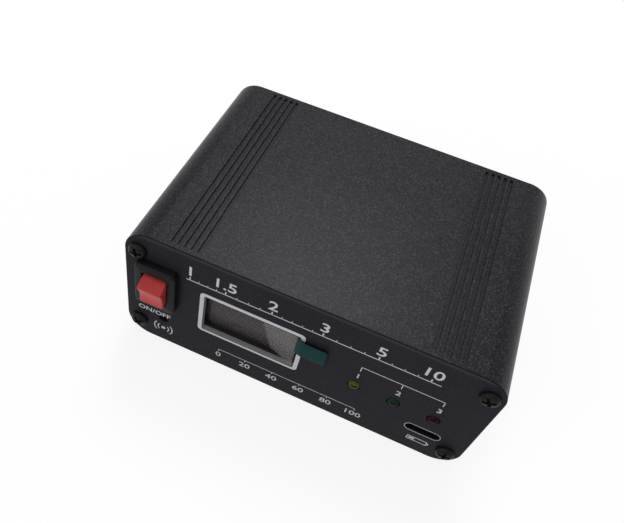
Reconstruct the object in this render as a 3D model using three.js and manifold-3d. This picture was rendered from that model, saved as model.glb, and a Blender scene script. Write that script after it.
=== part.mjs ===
import * as THREE from 'three';
import { mergeVertices } from 'three/addons/utils/BufferGeometryUtils.js';
import Module from 'manifold-3d';

// A small SWR and power meter in a split extruded case, in millimetres.
// X runs to the right of the front plate, Y to the back, Z up.
// The origin is the middle of the case's underside.

const wasm = await Module();
wasm.setup();

// Case: two half shells between a front and a rear plate
const caseWidth = 88;
const caseHeight = 38;
const shellLength = 60;
const caseCornerRadius = 6.5;
const shellWall = 1.5;
const plateThickness = 1.5;
const plateBevel = 0.25;
const bossRadius = 2.2;
const bossBore = 1.4;
const tongueHeight = 1;
const tongueThickness = 0.7;
const joinClearance = 0.1;

// Lengthwise grooves in the top and the underside
const groovesPerSide = 5;
const grooveSpacing = 1.6;
const grooveWidth = 0.75;
const grooveDepth = 0.5;
const grooveInset = 11.2;

// Corner screws
const screwSideInset = 3.5;
const screwEndInset = 5.5;
const screwHeadRadius = 2.25;
const screwHeadHeight = 1.5;
const screwHeadEdge = 0.6;
const screwShankRadius = 1.25;
const screwLength = 8;
const screwPointLength = 1;
const screwHoleRadius = 1.5;
const crossLength = 2.5;
const crossWidth = 0.65;
const crossDepth = 0.95;
const screwTurnShares = [0.06, 0.2, 0.13, 0.02];

// Rocker switch
const switchSideInset = 8.6;
const switchTopInset = 15;
const bezelWidth = 10.4;
const bezelHeight = 14.4;
const bezelDepth = 2.1;
const bezelCornerRadius = 1.2;
const bezelBevel = 0.35;
const switchBodyWidth = 8.4;
const switchBodyHeight = 13.2;
const switchBodyDepth = 11.6;
const switchCutoutClearance = 0.1;
const switchFloor = 1.2;
const switchWellWidth = 6.4;
const switchWellHeight = 9.2;
const snapWidth = 3;
const snapDepth = 2.4;
const snapReach = 0.5;
const rockerRidgeRadius = 5.96;
const rockerWidth = 6;
const rockerBevel = 0.3;
const rockerPivotDepth = 0.6;
const rockerTilt = 12;
const rockerRidgeAngle = 33;
const rockerValleyDepth = 0.5;
const rockerEndHalf = 4.15;
const rockerEndDepth = 1.84;
const rockerSkirtHalf = 4;
const rockerSkirtDepth = 1.2;
const pivotPinRadius = 0.9;
const pivotPinReach = 0.8;
const pivotClearance = 0.08;
const plungerTubeHalf = 1.6;
const plungerTubeLength = 4.8;
const plungerBoreRadius = 1;
const plungerBoreTop = 0.1;
const plungerRadius = 0.88;
const plungerTipReach = 6.8;
const plungerLength = 3.2;
const plungerRound = 0.5;
const springWireRadius = 0.13;
const springRadius = 0.62;
const springTurns = 4;
const springClearance = 0.15;
const leverLength = 8;
const leverWidth = 3;
const leverThickness = 0.4;
const leverGap = 0.15;
const leverTilt = 8;
const terminalWidth = 3;
const terminalThickness = 0.8;
const terminalTail = 6;
const terminalSpacing = 4;
const terminalSlotClearance = 0.08;
const switchLeadRadius = 0.6;
const switchLeadRun = 2.5;

// Display
const windowGapShare = 0.339537;
const windowAboveMiddle = 0.1;
const windowWidth = 23.7;
const windowHeight = 12.5;
const windowCornerRadius = 0.4;
const displayGlassThickness = 1.45;
const displayGlassAboveWindow = 1.1;
const displayGlassBelowWindow = 5.7;
const displayGlassBesideWindow = 1.5;
const gasketThickness = 0.9;
const gasketLap = 0.35;
const filmThickness = 0.15;
const filmInset = 0.1;
const filmLiftLength = 7.85;
const filmEndGap = 0.4;
const displayBoardThickness = 1.2;
const displayBoardAboveGlass = 4.5;
const displayBoardBelowGlass = 4;
const displayBoardBesideGlass = 0.3;
const displayTapeThickness = 0.15;
const displayHoleRadius = 1;
const displayHoleInset = 1.9;
const tabHeight = 5.4;
const tabTopBelowWindow = 0.2;
const tabThickness = 0.2;
const tabLap = 0.5;
const tabReach = 6.8;
const tabLift = 0.9;
const tabClearance = 0.12;
const headerPins = 4;
const headerSpacing = 2.54;
const headerDepth = 2.5;
const headerPinWidth = 0.6;
const headerPinTail = 3;
const headerDrop = 1.35;
const ribbonThickness = 1.1;
const ribbonRise = 4;

// Lamps
const lampInset = 10;
const lampSpacing = 9.5;
const lampZ = 16.2;
const lampRadius = 1.5;
const lampHoleRadius = 1.62;
const lampReach = 0.7;
const lampLength = 5.3;
const lampFlangeRadius = 1.9;
const lampFlangeThickness = 1;
const lampLegWidth = 0.5;
const lampLegSpacing = 2.54;
const lampLegRun = 3.35;
const lampLegHoleRadius = 0.55;
const lampLegTail = 0.8;

// Charging socket
const usbInset = 10.4;
const usbZ = 9.4;
const usbWidth = 8.94;
const usbHeight = 3.26;
const usbLength = 7.35;
const usbWall = 0.3;
const usbRecess = 0.05;
const usbSlotClearance = 0.12;
const usbTongueWidth = 6.7;
const usbTongueThickness = 0.7;
const usbTongueRecess = 0.9;
const usbBaseDepth = 1.6;
const usbFitClearance = 0.08;
const usbSolderGap = 0.1;

// Sounder behind its hole in the front plate
const buzzerBesideSwitch = 1.5;
const buzzerZ = 9.5;
const buzzerRadius = 4.5;
const buzzerDepth = 5;
const buzzerPlateGap = 0.1;
const buzzerMouthRadius = 1;
const buzzerMouthDepth = 1.2;
const soundHoleRadius = 1.35;
const twinLeadRadius = 0.7;

// Main board, in slots in the lower shell's side walls
const boardThickness = 1.6;
const boardSideClearance = 0.3;
const boardFrontClearance = 0.4;
const boardStepBehindDisplay = 2.1;
const boardStepBesideDisplay = 2.15;
const boardRearGap = 6;
const ribReach = 1.6;
const ribThickness = 1.1;
const ribClearance = 0.1;

// Parts on the main board
const solderGap = 0.1;
const chipSize = 7;
const chipHeight = 1.4;
const chipBesideDisplay = 9.4;
const chipY = -7;
const chipLegs = 5;
const chipLegSpacing = 1.1;
const chipLegWidth = 0.35;
const chipLegReach = 1;
const chipLegHeight = 0.3;
const regulatorInset = 13;
const regulatorY = -8;
const regulatorLength = 6.5;
const regulatorWidth = 3.5;
const regulatorHeight = 1.7;
const regulatorTabReach = 1.6;
const regulatorTabWidth = 3;
const regulatorLegWidth = 0.7;
const regulatorLegSpacing = 2.3;
const capacitorRadius = 3.15;
const capacitorHeight = 7;
const capacitorY = 2;
const capacitorGroove = 0.3;
const capacitorGrooveHeight = 1.4;
const capacitorBaseHeight = 0.9;

// Ferrite ring cores and their windings
const coreOuterRadius = 6.35;
const coreInnerRadius = 3.8;
const coreHeight = 4.8;
const coreChamfer = 0.4;
const coreBoardGap = 0.12;
const windingWireRadius = 0.25;
const windingClearance = 0.4;
const windingTurns = 10;
const windingOpenAngle = 80;
const windingSquareness = 5;
const currentCoreX = -7;
const currentCoreY = 10;
const voltageCoreX = 8;
const voltageCoreY = -3;
const lineWireRadius = 0.9;
const lineBendRadius = 4;
const sampleWireRadius = 0.5;
const sampleWireReach = 5.5;
const bendShare = 0.29;
const bendRunShare = 0.65;

// Coaxial sockets in the rear plate
const socketSpacing = 41;
const socketShankRadius = 7.9;
const socketHoleClearance = 0.15;
const socketShankInside = 5;
const socketFlangeRadius = 9.6;
const socketFlangeThickness = 2;
const socketBarrelLength = 12;
const threadDepth = 0.55;
const threadPitch = 1.058;
const socketBore = 5.8;
const socketRearBore = 5;
const socketStepInside = 3.5;
const insulatorClearance = 0.1;
const insulatorRecess = 1.8;
const contactRecess = 0.5;
const contactRadius = 2.9;
const contactBore = 2;
const contactBoreDepth = 8.5;
const contactTubeLength = 9;
const contactStemRadius = 1.75;
const contactSlotWidth = 0.5;
const contactSlotDepth = 5;
const solderCupRadius = 1.6;
const solderCupBore = 1.15;
const solderCupLength = 4.5;
const solderCupDepth = 3;
const contactStemInside = 10;
const cupClearance = 0.2;
const rimNotchWidth = 1.6;
const rimNotchDepth = 1.1;
const nutAcrossCorners = 22;
const nutThickness = 2.3;
const washerRadius = 10.2;
const washerThickness = 0.7;
const nutClearance = 0.12;

// Battery under the main board
const batteryWidth = 50;
const batteryDepth = 34;
const batteryThickness = 6;
const batteryBesidePlug = 3;
const batteryY = 3;
const batteryEdgeRadius = 2;
const batteryTape = 0.1;
const batteryFlapDepth = 3;
const batteryFlapThickness = 1.2;
const batteryLeadRadius = 0.65;
const batteryLeadSpacing = 2;
const plugInset = 11;
const plugY = 6;
const plugWidth = 6;
const plugDepth = 6;
const plugHeight = 3.2;
const plugSocketHeight = 2.2;
const plugLeadRun = 4;

// Fineness of the round faces, and the overrun of every cut
const cornerSteps = 5;
const domeSteps = 4;
const roundSides = 24;
const smallSides = 14;
const threadSides = 20;
const wireSides = 6;
const coilSides = 5;
const coilSteps = 8;
const legHoleSides = 8;
const nutSides = 6;
const tabSteps = 22;
const ribbonSteps = 14;
const leadSteps = 12;
const longLeadSteps = 16;
const lineSteps = 30;
const cutOverrun = 2;

// Places worked out from the sizes above
const plateBack = -shellLength / 2;
const frontFace = plateBack - plateThickness;
const rearInner = shellLength / 2;
const rearFace = rearInner + plateThickness;
const caseMiddleZ = caseHeight / 2;
const caseSide = caseWidth / 2;
const screwX = caseSide - screwSideInset;
const screwRise = caseMiddleZ - screwEndInset;
const switchX = switchSideInset - caseSide;
const switchZ = caseHeight - switchTopInset;
const lampXs = [2, 1, 0].map((i) => caseSide - lampInset - i * lampSpacing);
const lampTip = frontFace - lampReach;
const usbX = caseSide - usbInset;
const buzzerX = switchX + buzzerBesideSwitch;
const switchRight = switchX + bezelWidth / 2;
const windowSlack = lampXs[0] - lampHoleRadius - switchRight - windowWidth;
const windowX = switchRight + windowSlack * windowGapShare + windowWidth / 2;
const windowZ = caseMiddleZ + windowAboveMiddle;
const displayGlassWidth = windowWidth + 2 * displayGlassBesideWindow;
const displayGlassHeight = windowHeight + displayGlassAboveWindow + displayGlassBelowWindow;
const displayBoardWidth = displayGlassWidth + 2 * displayBoardBesideGlass;
const displayBoardHeight = displayGlassHeight + displayBoardAboveGlass + displayBoardBelowGlass;
const boardBottom = usbZ + usbHeight / 2 + usbSolderGap;
const boardTop = boardBottom + boardThickness;
const boardHalfWidth = caseSide - shellWall - boardSideClearance;
const boardFront = plateBack + boardFrontClearance;
const boardRear = rearInner - boardRearGap;
const pivotY = frontFace + rockerPivotDepth;
const glassFront = plateBack + gasketThickness;
const filmFront = glassFront - filmThickness;
const glassBack = glassFront + displayGlassThickness;
const glassTop = windowZ + windowHeight / 2 + displayGlassAboveWindow;
const displayBoardFront = glassBack + displayTapeThickness;
const displayBoardBack = displayBoardFront + displayBoardThickness;
const displayBoardTop = glassTop + displayBoardAboveGlass;
const windowRight = windowX + windowWidth / 2;
const boardStepX = windowX + displayBoardWidth / 2 + boardStepBesideDisplay;
const boardStepY = displayBoardBack + boardStepBehindDisplay;
const chipX = windowX - chipBesideDisplay;
const regulatorX = caseSide - regulatorInset;
const plugX = plugInset - caseSide;
const batteryX = plugX + plugWidth / 2 + batteryBesidePlug + batteryWidth / 2;
const lineZ = boardTop + coreBoardGap + coreOuterRadius;
const threadRootRadius = socketShankRadius - threadDepth;

const finishes = {
  blackAluminium: { color: 0x1c1b1e, roughness: 0.6, metalness: 0.3 },
  blackPlate: { color: 0x18181b, roughness: 0.45, metalness: 0.2 },
  blackScrew: { color: 0x0d0d0f, roughness: 0.35, metalness: 0.6 },
  blackPlastic: { color: 0x141416, roughness: 0.4, metalness: 0 },
  redPlastic: { color: 0xc22a2a, roughness: 0.35, metalness: 0 },
  springSteel: { color: 0xa9a9ac, roughness: 0.3, metalness: 1 },
  brass: { color: 0xc9a552, roughness: 0.3, metalness: 1 },
  nickel: { color: 0xc9c9c6, roughness: 0.25, metalness: 1 },
  displayGlass: { color: 0x2f2c2d, roughness: 0.08, metalness: 0 },
  clearFilm: { color: 0xdfe3e4, roughness: 0.15, metalness: 0 },
  tealFilm: { color: 0x0f3f3a, roughness: 0.35, metalness: 0 },
  foam: { color: 0x0a0a0b, roughness: 0.95, metalness: 0 },
  blueBoard: { color: 0x173a6e, roughness: 0.45, metalness: 0 },
  greenBoard: { color: 0x1d5a34, roughness: 0.45, metalness: 0 },
  yellowLamp: { color: 0x8f8a2c, roughness: 0.2, metalness: 0 },
  greenLamp: { color: 0x2c6a45, roughness: 0.2, metalness: 0 },
  redLamp: { color: 0x6e1e20, roughness: 0.2, metalness: 0 },
  whitePlastic: { color: 0xe6e3da, roughness: 0.5, metalness: 0 },
  ferrite: { color: 0x4a4b50, roughness: 0.7, metalness: 0 },
  enamelledCopper: { color: 0xa8552a, roughness: 0.3, metalness: 0.8 },
  tinnedCopper: { color: 0xc2b9a8, roughness: 0.3, metalness: 1 },
  batteryFoil: { color: 0xb9bcc0, roughness: 0.4, metalness: 0.7 },
  redLead: { color: 0xb02020, roughness: 0.5, metalness: 0 },
  blackLead: { color: 0x151515, roughness: 0.5, metalness: 0 },
  greyLead: { color: 0x77787c, roughness: 0.5, metalness: 0 },
};

const group = new THREE.Group();

// Turns a closed geometry into a solid that can be joined and cut
function solidOf(geometry) {
  const bare = geometry.clone();
  bare.deleteAttribute('normal');
  bare.deleteAttribute('uv');
  const merged = mergeVertices(bare);
  const corners = merged.index.array;
  const kept = [];
  for (let i = 0; i < corners.length; i += 3) {
    const [a, b, c] = corners.slice(i, i + 3);
    if (a !== b && b !== c && c !== a) kept.push(a, b, c);
  }
  return new wasm.Manifold(new wasm.Mesh({
    numProp: 3,
    vertProperties: merged.attributes.position.array,
    triVerts: Uint32Array.from(kept),
  }));
}

function geometryOf(solid) {
  const mesh = solid.getMesh();
  const geometry = new THREE.BufferGeometry();
  geometry.setAttribute('position', new THREE.BufferAttribute(mesh.vertProperties, mesh.numProp));
  geometry.setIndex(new THREE.BufferAttribute(mesh.triVerts, 1));
  geometry.computeVertexNormals();
  return geometry;
}

function addPart(name, solid, finish, parent = group) {
  const mesh = new THREE.Mesh(geometryOf(solid), new THREE.MeshStandardMaterial(finishes[finish]));
  mesh.name = name;
  parent.add(mesh);
  return mesh;
}

function joined(solids) {
  return solids.reduce((whole, solid) => whole.add(solid));
}

function cutBy(solid, cutters) {
  return cutters.reduce((left, cutter) => left.subtract(cutter), solid);
}

function box(low, high) {
  const size = high.map((value, i) => value - low[i]);
  const geometry = new THREE.BoxGeometry(...size);
  geometry.translate(...high.map((value, i) => (value + low[i]) / 2));
  return solidOf(geometry);
}

// A block about a middle in X and Z, from one Y to another
function plainSlab(x, z, width, height, front, back) {
  return box([x - width / 2, front, z - height / 2], [x + width / 2, back, z + height / 2]);
}

// A round bar along Y
function roundBar(x, z, radius, front, back, sides = roundSides) {
  const geometry = new THREE.CylinderGeometry(radius, radius, back - front, sides);
  geometry.translate(x, (front + back) / 2, z);
  return solidOf(geometry);
}

// A round bar along Z
function post(x, y, radius, low, high, sides = roundSides) {
  const geometry = new THREE.CylinderGeometry(radius, radius, high - low, sides);
  geometry.rotateX(Math.PI / 2);
  geometry.translate(x, y, (low + high) / 2);
  return solidOf(geometry);
}

// A turned piece about the Y axis, from [radius, y] points
function turned(points, sides = roundSides) {
  const profile = points.map(([radius, y]) => new THREE.Vector2(radius, y));
  return solidOf(new THREE.LatheGeometry([...profile, profile[0]], sides));
}

function roundedOutline(x, z, width, height, radius) {
  const right = x + width / 2 - radius;
  const left = x - width / 2 + radius;
  const top = z + height / 2 - radius;
  const bottom = z - height / 2 + radius;
  const quarter = Math.PI / 2;
  const shape = new THREE.Shape();
  shape.moveTo(right + radius, bottom);
  shape.absarc(right, top, radius, 0, quarter, false);
  shape.absarc(left, top, radius, quarter, 2 * quarter, false);
  shape.absarc(left, bottom, radius, 2 * quarter, 3 * quarter, false);
  shape.absarc(right, bottom, radius, 3 * quarter, 4 * quarter, false);
  return shape;
}

// Carries an outline drawn in X and Z from one Y to another
function slab(shape, front, back, bevel = 0) {
  const geometry = new THREE.ExtrudeGeometry(shape, {
    depth: back - front - 2 * bevel,
    curveSegments: cornerSteps,
    bevelEnabled: bevel > 0,
    bevelThickness: bevel,
    bevelSize: bevel,
    bevelOffset: -bevel,
    bevelSegments: 1,
  });
  geometry.rotateX(Math.PI / 2);
  geometry.translate(0, back - bevel, 0);
  return solidOf(geometry);
}

// Carries a section of points along a path of points
function swept(section, points, steps) {
  const places = points.map((p) => new THREE.Vector3(...p));
  const path = new THREE.CatmullRomCurve3(places, false, 'centripetal');
  const shape = new THREE.Shape(section.map(([x, y]) => new THREE.Vector2(x, y)));
  return solidOf(new THREE.ExtrudeGeometry(shape, { steps, extrudePath: path, bevelEnabled: false }));
}

function circlePoints(radius, sides) {
  return Array.from({ length: sides }, (_, i) => {
    const angle = (2 * Math.PI * i) / sides;
    return [radius * Math.cos(angle), radius * Math.sin(angle)];
  });
}

function wire(radius, points, steps, sides = wireSides) {
  return swept(circlePoints(radius, sides), points, steps);
}

// Corner screw places, as [x, z]
const screwPlaces = [-1, 1].flatMap((side) => [1, -1].map((end) => [
  side * screwX,
  caseMiddleZ + end * screwRise,
]));

// Case shells: the whole extrusion, from which each half is cut
function grooveCutters() {
  const cutters = [];
  for (let i = 0; i < groovesPerSide; i += 1) {
    const x = caseSide - grooveInset - i * grooveSpacing;
    for (const side of [-1, 1]) {
      const middle = side * x;
      const left = middle - grooveWidth / 2;
      const right = middle + grooveWidth / 2;
      const start = plateBack - cutOverrun;
      const end = rearInner + cutOverrun;
      cutters.push(box([left, start, caseHeight - grooveDepth], [right, end, caseHeight + cutOverrun]));
      cutters.push(box([left, start, -cutOverrun], [right, end, grooveDepth]));
    }
  }
  return cutters;
}

function slotRibs() {
  const inner = caseSide - shellWall;
  const lowerTop = boardBottom - ribClearance;
  const upperBottom = boardTop + ribClearance;
  const bands = [[lowerTop - ribThickness, lowerTop], [upperBottom, upperBottom + ribThickness]];
  const mirrored = bands.map(([low, high]) => [caseHeight - high, caseHeight - low]);
  return [...bands, ...mirrored].flatMap(([low, high]) => [-1, 1].map((side) => {
    const near = side * (inner - ribReach);
    const far = side * (inner + shellWall / 2);
    return box([Math.min(near, far), plateBack, low], [Math.max(near, far), rearInner, high]);
  }));
}

function wholeExtrusion() {
  const outline = roundedOutline(0, caseMiddleZ, caseWidth, caseHeight, caseCornerRadius);
  const hollow = roundedOutline(0, caseMiddleZ, caseWidth - 2 * shellWall, caseHeight - 2 * shellWall,
    caseCornerRadius - shellWall);
  const skin = slab(outline, plateBack, rearInner)
    .subtract(slab(hollow, plateBack - cutOverrun, rearInner + cutOverrun));
  const bosses = screwPlaces.map(([x, z]) => roundBar(x, z, bossRadius, plateBack, rearInner));
  const inside = slab(outline, plateBack, rearInner);
  const bores = screwPlaces.map(([x, z]) => (
    roundBar(x, z, bossBore, plateBack - cutOverrun, rearInner + cutOverrun, smallSides)));
  const solid = joined([skin, ...bosses.map((boss) => boss.intersect(inside)), ...slotRibs()]);
  return cutBy(solid, [...bores, ...grooveCutters()]);
}

function tongues(clearance) {
  const inner = caseSide - shellWall;
  return [-1, 1].map((side) => {
    const near = side * (inner - clearance);
    const far = side * (inner + tongueThickness + clearance);
    return box([Math.min(near, far), plateBack, caseMiddleZ - clearance],
      [Math.max(near, far), rearInner, caseMiddleZ + tongueHeight + clearance]);
  });
}

function addShells() {
  const whole = wholeExtrusion();
  const side = caseSide + cutOverrun;
  const start = plateBack - cutOverrun;
  const end = rearInner + cutOverrun;
  const lowerHalf = box([-side, start, -cutOverrun], [side, end, caseMiddleZ]);
  const upperHalf = box([-side, start, caseMiddleZ], [side, end, caseHeight + cutOverrun]);
  addPart('lower_shell', joined([whole.intersect(lowerHalf), ...tongues(0)]), 'blackAluminium');
  addPart('upper_shell', cutBy(whole.intersect(upperHalf), tongues(joinClearance)), 'blackAluminium');
}

function plateBlank(front, back) {
  const outline = roundedOutline(0, caseMiddleZ, caseWidth, caseHeight, caseCornerRadius);
  const holes = screwPlaces.map(([x, z]) => (
    roundBar(x, z, screwHoleRadius, front - cutOverrun, back + cutOverrun, smallSides)));
  return cutBy(slab(outline, front, back, plateBevel), holes);
}

function addFrontPlate() {
  const start = frontFace - cutOverrun;
  const end = plateBack + cutOverrun;
  const windowOutline = roundedOutline(windowX, windowZ, windowWidth, windowHeight, windowCornerRadius);
  const window = slab(windowOutline, start, end);
  const cutoutWidth = switchBodyWidth + 2 * switchCutoutClearance;
  const cutoutHeight = switchBodyHeight + 2 * switchCutoutClearance;
  const switchCutout = plainSlab(switchX, switchZ, cutoutWidth, cutoutHeight, start, end);
  const slotWidth = usbWidth + 2 * usbSlotClearance;
  const slotHeight = usbHeight + 2 * usbSlotClearance;
  const usbSlot = slab(roundedOutline(usbX, usbZ, slotWidth, slotHeight, slotHeight / 2), start, end);
  const lampHoles = lampXs.map((x) => roundBar(x, lampZ, lampHoleRadius, start, end, smallSides));
  const soundHole = roundBar(buzzerX, buzzerZ, soundHoleRadius, start, end, smallSides);
  const cuts = [window, switchCutout, usbSlot, soundHole, ...lampHoles];
  addPart('front_panel', cutBy(plateBlank(frontFace, plateBack), cuts), 'blackPlate');
}

function addRearPlate() {
  const holes = [-1, 1].map((side) => roundBar((side * socketSpacing) / 2, lineZ,
    socketShankRadius + socketHoleClearance, rearInner - cutOverrun, rearFace + cutOverrun));
  addPart('rear_panel', cutBy(plateBlank(rearInner, rearFace), holes), 'blackPlate');
}

// A cross-slotted pan-head screw whose seat is at the origin and whose head points to -Y
function screwSolid() {
  const shoulder = screwLength - screwPointLength;
  const body = turned([
    [0, -screwHeadHeight],
    [screwHeadRadius - screwHeadEdge, -screwHeadHeight],
    [screwHeadRadius, screwHeadEdge - screwHeadHeight],
    [screwHeadRadius, 0],
    [screwShankRadius, 0],
    [screwShankRadius, shoulder],
    [screwShankRadius / 2, screwLength],
    [0, screwLength],
  ], smallSides);
  const low = -screwHeadHeight - cutOverrun;
  const floor = crossDepth - screwHeadHeight;
  const long = crossLength / 2;
  const short = crossWidth / 2;
  const cross = [
    box([-long, low, -short], [long, floor, short]),
    box([-short, low, -long], [short, floor, long]),
  ];
  return cutBy(body, cross);
}

function addScrews() {
  const solid = screwSolid();
  screwPlaces.forEach(([x, z], i) => {
    const front = addPart(`front_screw_${i + 1}`, solid, 'blackScrew');
    front.position.set(x, frontFace, z);
    front.rotation.y = Math.PI * screwTurnShares[i];
    const turnedBack = new THREE.Group();
    turnedBack.position.set(x, rearFace, z);
    turnedBack.rotation.z = Math.PI;
    group.add(turnedBack);
    const rear = addPart(`rear_screw_${i + 1}`, solid, 'blackScrew', turnedBack);
    rear.rotation.y = Math.PI * screwTurnShares[screwTurnShares.length - 1 - i];
  });
}

// Rocker switch: housing with its well, pivot holes, snap lugs and floor slots
function terminalBlade(z, front, thickness, width, back) {
  return plainSlab(switchX, z, width, thickness, front, back);
}

const leverY = pivotY + plungerTipReach + leverGap + leverThickness / 2;
const floorBack = frontFace + switchBodyDepth;
const floorFront = floorBack - switchFloor;
const loadTerminalZ = switchZ - terminalSpacing;
const terminalEnd = floorBack + terminalTail;

function switchHousing() {
  const bezelOutline = roundedOutline(switchX, switchZ, bezelWidth, bezelHeight, bezelCornerRadius);
  const bezel = slab(bezelOutline, frontFace - bezelDepth, frontFace, bezelBevel);
  const squaredBezel = bezel.add(slab(bezelOutline, frontFace - bezelDepth / 2, frontFace));
  const body = plainSlab(switchX, switchZ, switchBodyWidth, switchBodyHeight,
    frontFace - bezelDepth / 2, floorBack);
  const snapFront = plateBack + joinClearance;
  const snaps = plainSlab(switchX, switchZ, snapWidth, switchBodyHeight + 2 * snapReach,
    snapFront, snapFront + snapDepth);
  const well = plainSlab(switchX, switchZ, switchWellWidth, switchWellHeight,
    frontFace - bezelDepth - cutOverrun, floorFront);
  const pinRadius = pivotPinRadius + pivotClearance;
  const pinLength = rockerWidth + 2 * pivotPinReach + 2 * pivotClearance;
  const pinHole = new THREE.CylinderGeometry(pinRadius, pinRadius, pinLength, smallSides);
  pinHole.rotateZ(Math.PI / 2);
  pinHole.translate(switchX, pivotY, switchZ);
  const slotWidth = terminalWidth + 2 * terminalSlotClearance;
  const slotThickness = terminalThickness + 2 * terminalSlotClearance;
  const slots = [switchZ, loadTerminalZ].map((z) => (
    terminalBlade(z, floorFront - cutOverrun, slotThickness, slotWidth, floorBack + cutOverrun)));
  return cutBy(joined([squaredBezel, body, snaps]), [well, solidOf(pinHole), ...slots]);
}

// The rocker stands level here, with its pivot at the origin and its face to -Y; a group tilts it
function rockerOutline() {
  const shape = new THREE.Shape();
  const ridge = THREE.MathUtils.degToRad(rockerRidgeAngle);
  const ridgeHalf = rockerRidgeRadius * Math.sin(ridge);
  const ridgeDepth = rockerRidgeRadius * Math.cos(ridge);
  shape.moveTo(-rockerSkirtHalf, rockerSkirtDepth);
  shape.lineTo(-rockerEndHalf, -rockerEndDepth);
  shape.lineTo(-ridgeHalf, -ridgeDepth);
  shape.lineTo(0, rockerValleyDepth - ridgeDepth);
  shape.lineTo(ridgeHalf, -ridgeDepth);
  shape.lineTo(rockerEndHalf, -rockerEndDepth);
  shape.lineTo(rockerSkirtHalf, rockerSkirtDepth);
  shape.lineTo(plungerTubeHalf, rockerSkirtDepth);
  shape.lineTo(plungerTubeHalf, plungerTubeLength);
  shape.lineTo(-plungerTubeHalf, plungerTubeLength);
  shape.lineTo(-plungerTubeHalf, rockerSkirtDepth);
  return shape;
}

function rockerSolid() {
  const geometry = new THREE.ExtrudeGeometry(rockerOutline(), {
    depth: rockerWidth - 2 * rockerBevel,
    bevelEnabled: true,
    bevelThickness: rockerBevel,
    bevelSize: rockerBevel,
    bevelOffset: -rockerBevel,
    bevelSegments: 2,
  });
  // The outline is drawn with Z across and Y up, so a quarter turn lays its depth along X
  geometry.translate(0, 0, rockerBevel - rockerWidth / 2);
  geometry.rotateY(-Math.PI / 2);
  const pinLength = rockerWidth + 2 * pivotPinReach;
  const pins = new THREE.CylinderGeometry(pivotPinRadius, pivotPinRadius, pinLength, smallSides);
  pins.rotateZ(Math.PI / 2);
  const boreEnd = plungerTubeLength + cutOverrun;
  const bore = roundBar(0, 0, plungerBoreRadius, plungerBoreTop, boreEnd, smallSides);
  return { geometry, pins, bore };
}

// A steel spring wound about the Y axis between two depths
function springSolid() {
  const start = plungerBoreTop + springClearance + springWireRadius;
  const end = plungerTipReach - plungerLength - springClearance - springWireRadius;
  const count = springTurns * coilSteps;
  const points = Array.from({ length: count + 1 }, (_, i) => {
    const angle = (2 * Math.PI * i) / coilSteps;
    const depth = start + ((end - start) * i) / count;
    return [springRadius * Math.cos(angle), depth, springRadius * Math.sin(angle)];
  });
  return wire(springWireRadius, points, count, coilSides);
}

function plungerSolid() {
  const start = plungerTipReach - plungerLength;
  return turned([
    [0, start],
    [plungerRadius, start],
    [plungerRadius, plungerTipReach - plungerRound],
    [plungerRadius - plungerRound, plungerTipReach],
    [0, plungerTipReach],
  ], smallSides);
}

function addSwitch() {
  addPart('switch_housing', switchHousing(), 'blackPlastic');
  const tilted = new THREE.Group();
  tilted.position.set(switchX, pivotY, switchZ);
  tilted.rotation.x = THREE.MathUtils.degToRad(rockerTilt);
  group.add(tilted);
  const { geometry, pins, bore } = rockerSolid();
  addPart('rocker', solidOf(geometry).add(solidOf(pins)).subtract(bore), 'redPlastic', tilted);
  addPart('switch_plunger', plungerSolid(), 'brass', tilted);
  addPart('plunger_spring', springSolid(), 'springSteel', tilted);
  const leverGroup = new THREE.Group();
  leverGroup.position.set(switchX, leverY, switchZ);
  leverGroup.rotation.x = -THREE.MathUtils.degToRad(leverTilt);
  group.add(leverGroup);
  const lever = box([-leverWidth / 2, -leverThickness / 2, -leverLength / 2],
    [leverWidth / 2, leverThickness / 2, leverLength / 2]);
  addPart('contact_lever', lever, 'brass', leverGroup);
  const commonFront = leverY + leverThickness / 2 + leverGap;
  const swing = (leverLength / 2) * Math.sin(THREE.MathUtils.degToRad(leverTilt));
  const common = terminalBlade(switchZ, commonFront, terminalThickness, terminalWidth, terminalEnd);
  const loadFront = commonFront + swing;
  const load = terminalBlade(loadTerminalZ, loadFront, terminalThickness, terminalWidth, terminalEnd);
  addPart('terminal_common', common, 'brass');
  addPart('terminal_load', load, 'brass');
}

// Display: foam gasket, glass with its film and pull tab, circuit board and pin header
const displayGlassZ = glassTop - displayGlassHeight / 2;
const displayBoardZ = displayBoardTop - displayBoardHeight / 2;
const headerZ = displayBoardTop - headerDrop;
const headerWidth = headerPins * headerSpacing;
const headerBack = displayBoardBack + solderGap + headerDepth;

function displaySlab(front, back) {
  return plainSlab(windowX, displayGlassZ, displayGlassWidth, displayGlassHeight, front, back);
}

function addDisplayStack() {
  const outer = displaySlab(plateBack, glassFront);
  const inner = plainSlab(windowX, windowZ, windowWidth + 2 * gasketLap, windowHeight + 2 * gasketLap,
    plateBack - cutOverrun, glassFront + cutOverrun);
  addPart('display_gasket', outer.subtract(inner), 'foam');
  addPart('display_glass', displaySlab(glassFront, glassBack), 'displayGlass');
  const board = plainSlab(windowX, displayBoardZ, displayBoardWidth, displayBoardHeight,
    displayBoardFront, displayBoardBack);
  const holeX = displayBoardWidth / 2 - displayHoleInset;
  const holeZ = displayBoardHeight / 2 - displayHoleInset;
  const holes = [-1, 1].flatMap((side) => [-1, 1].map((end) => roundBar(windowX + side * holeX,
    displayBoardZ + end * holeZ, displayHoleRadius, displayBoardFront - cutOverrun,
    displayBoardBack + cutOverrun, smallSides)));
  addPart('display_board', cutBy(board, holes), 'blueBoard');
}

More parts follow.
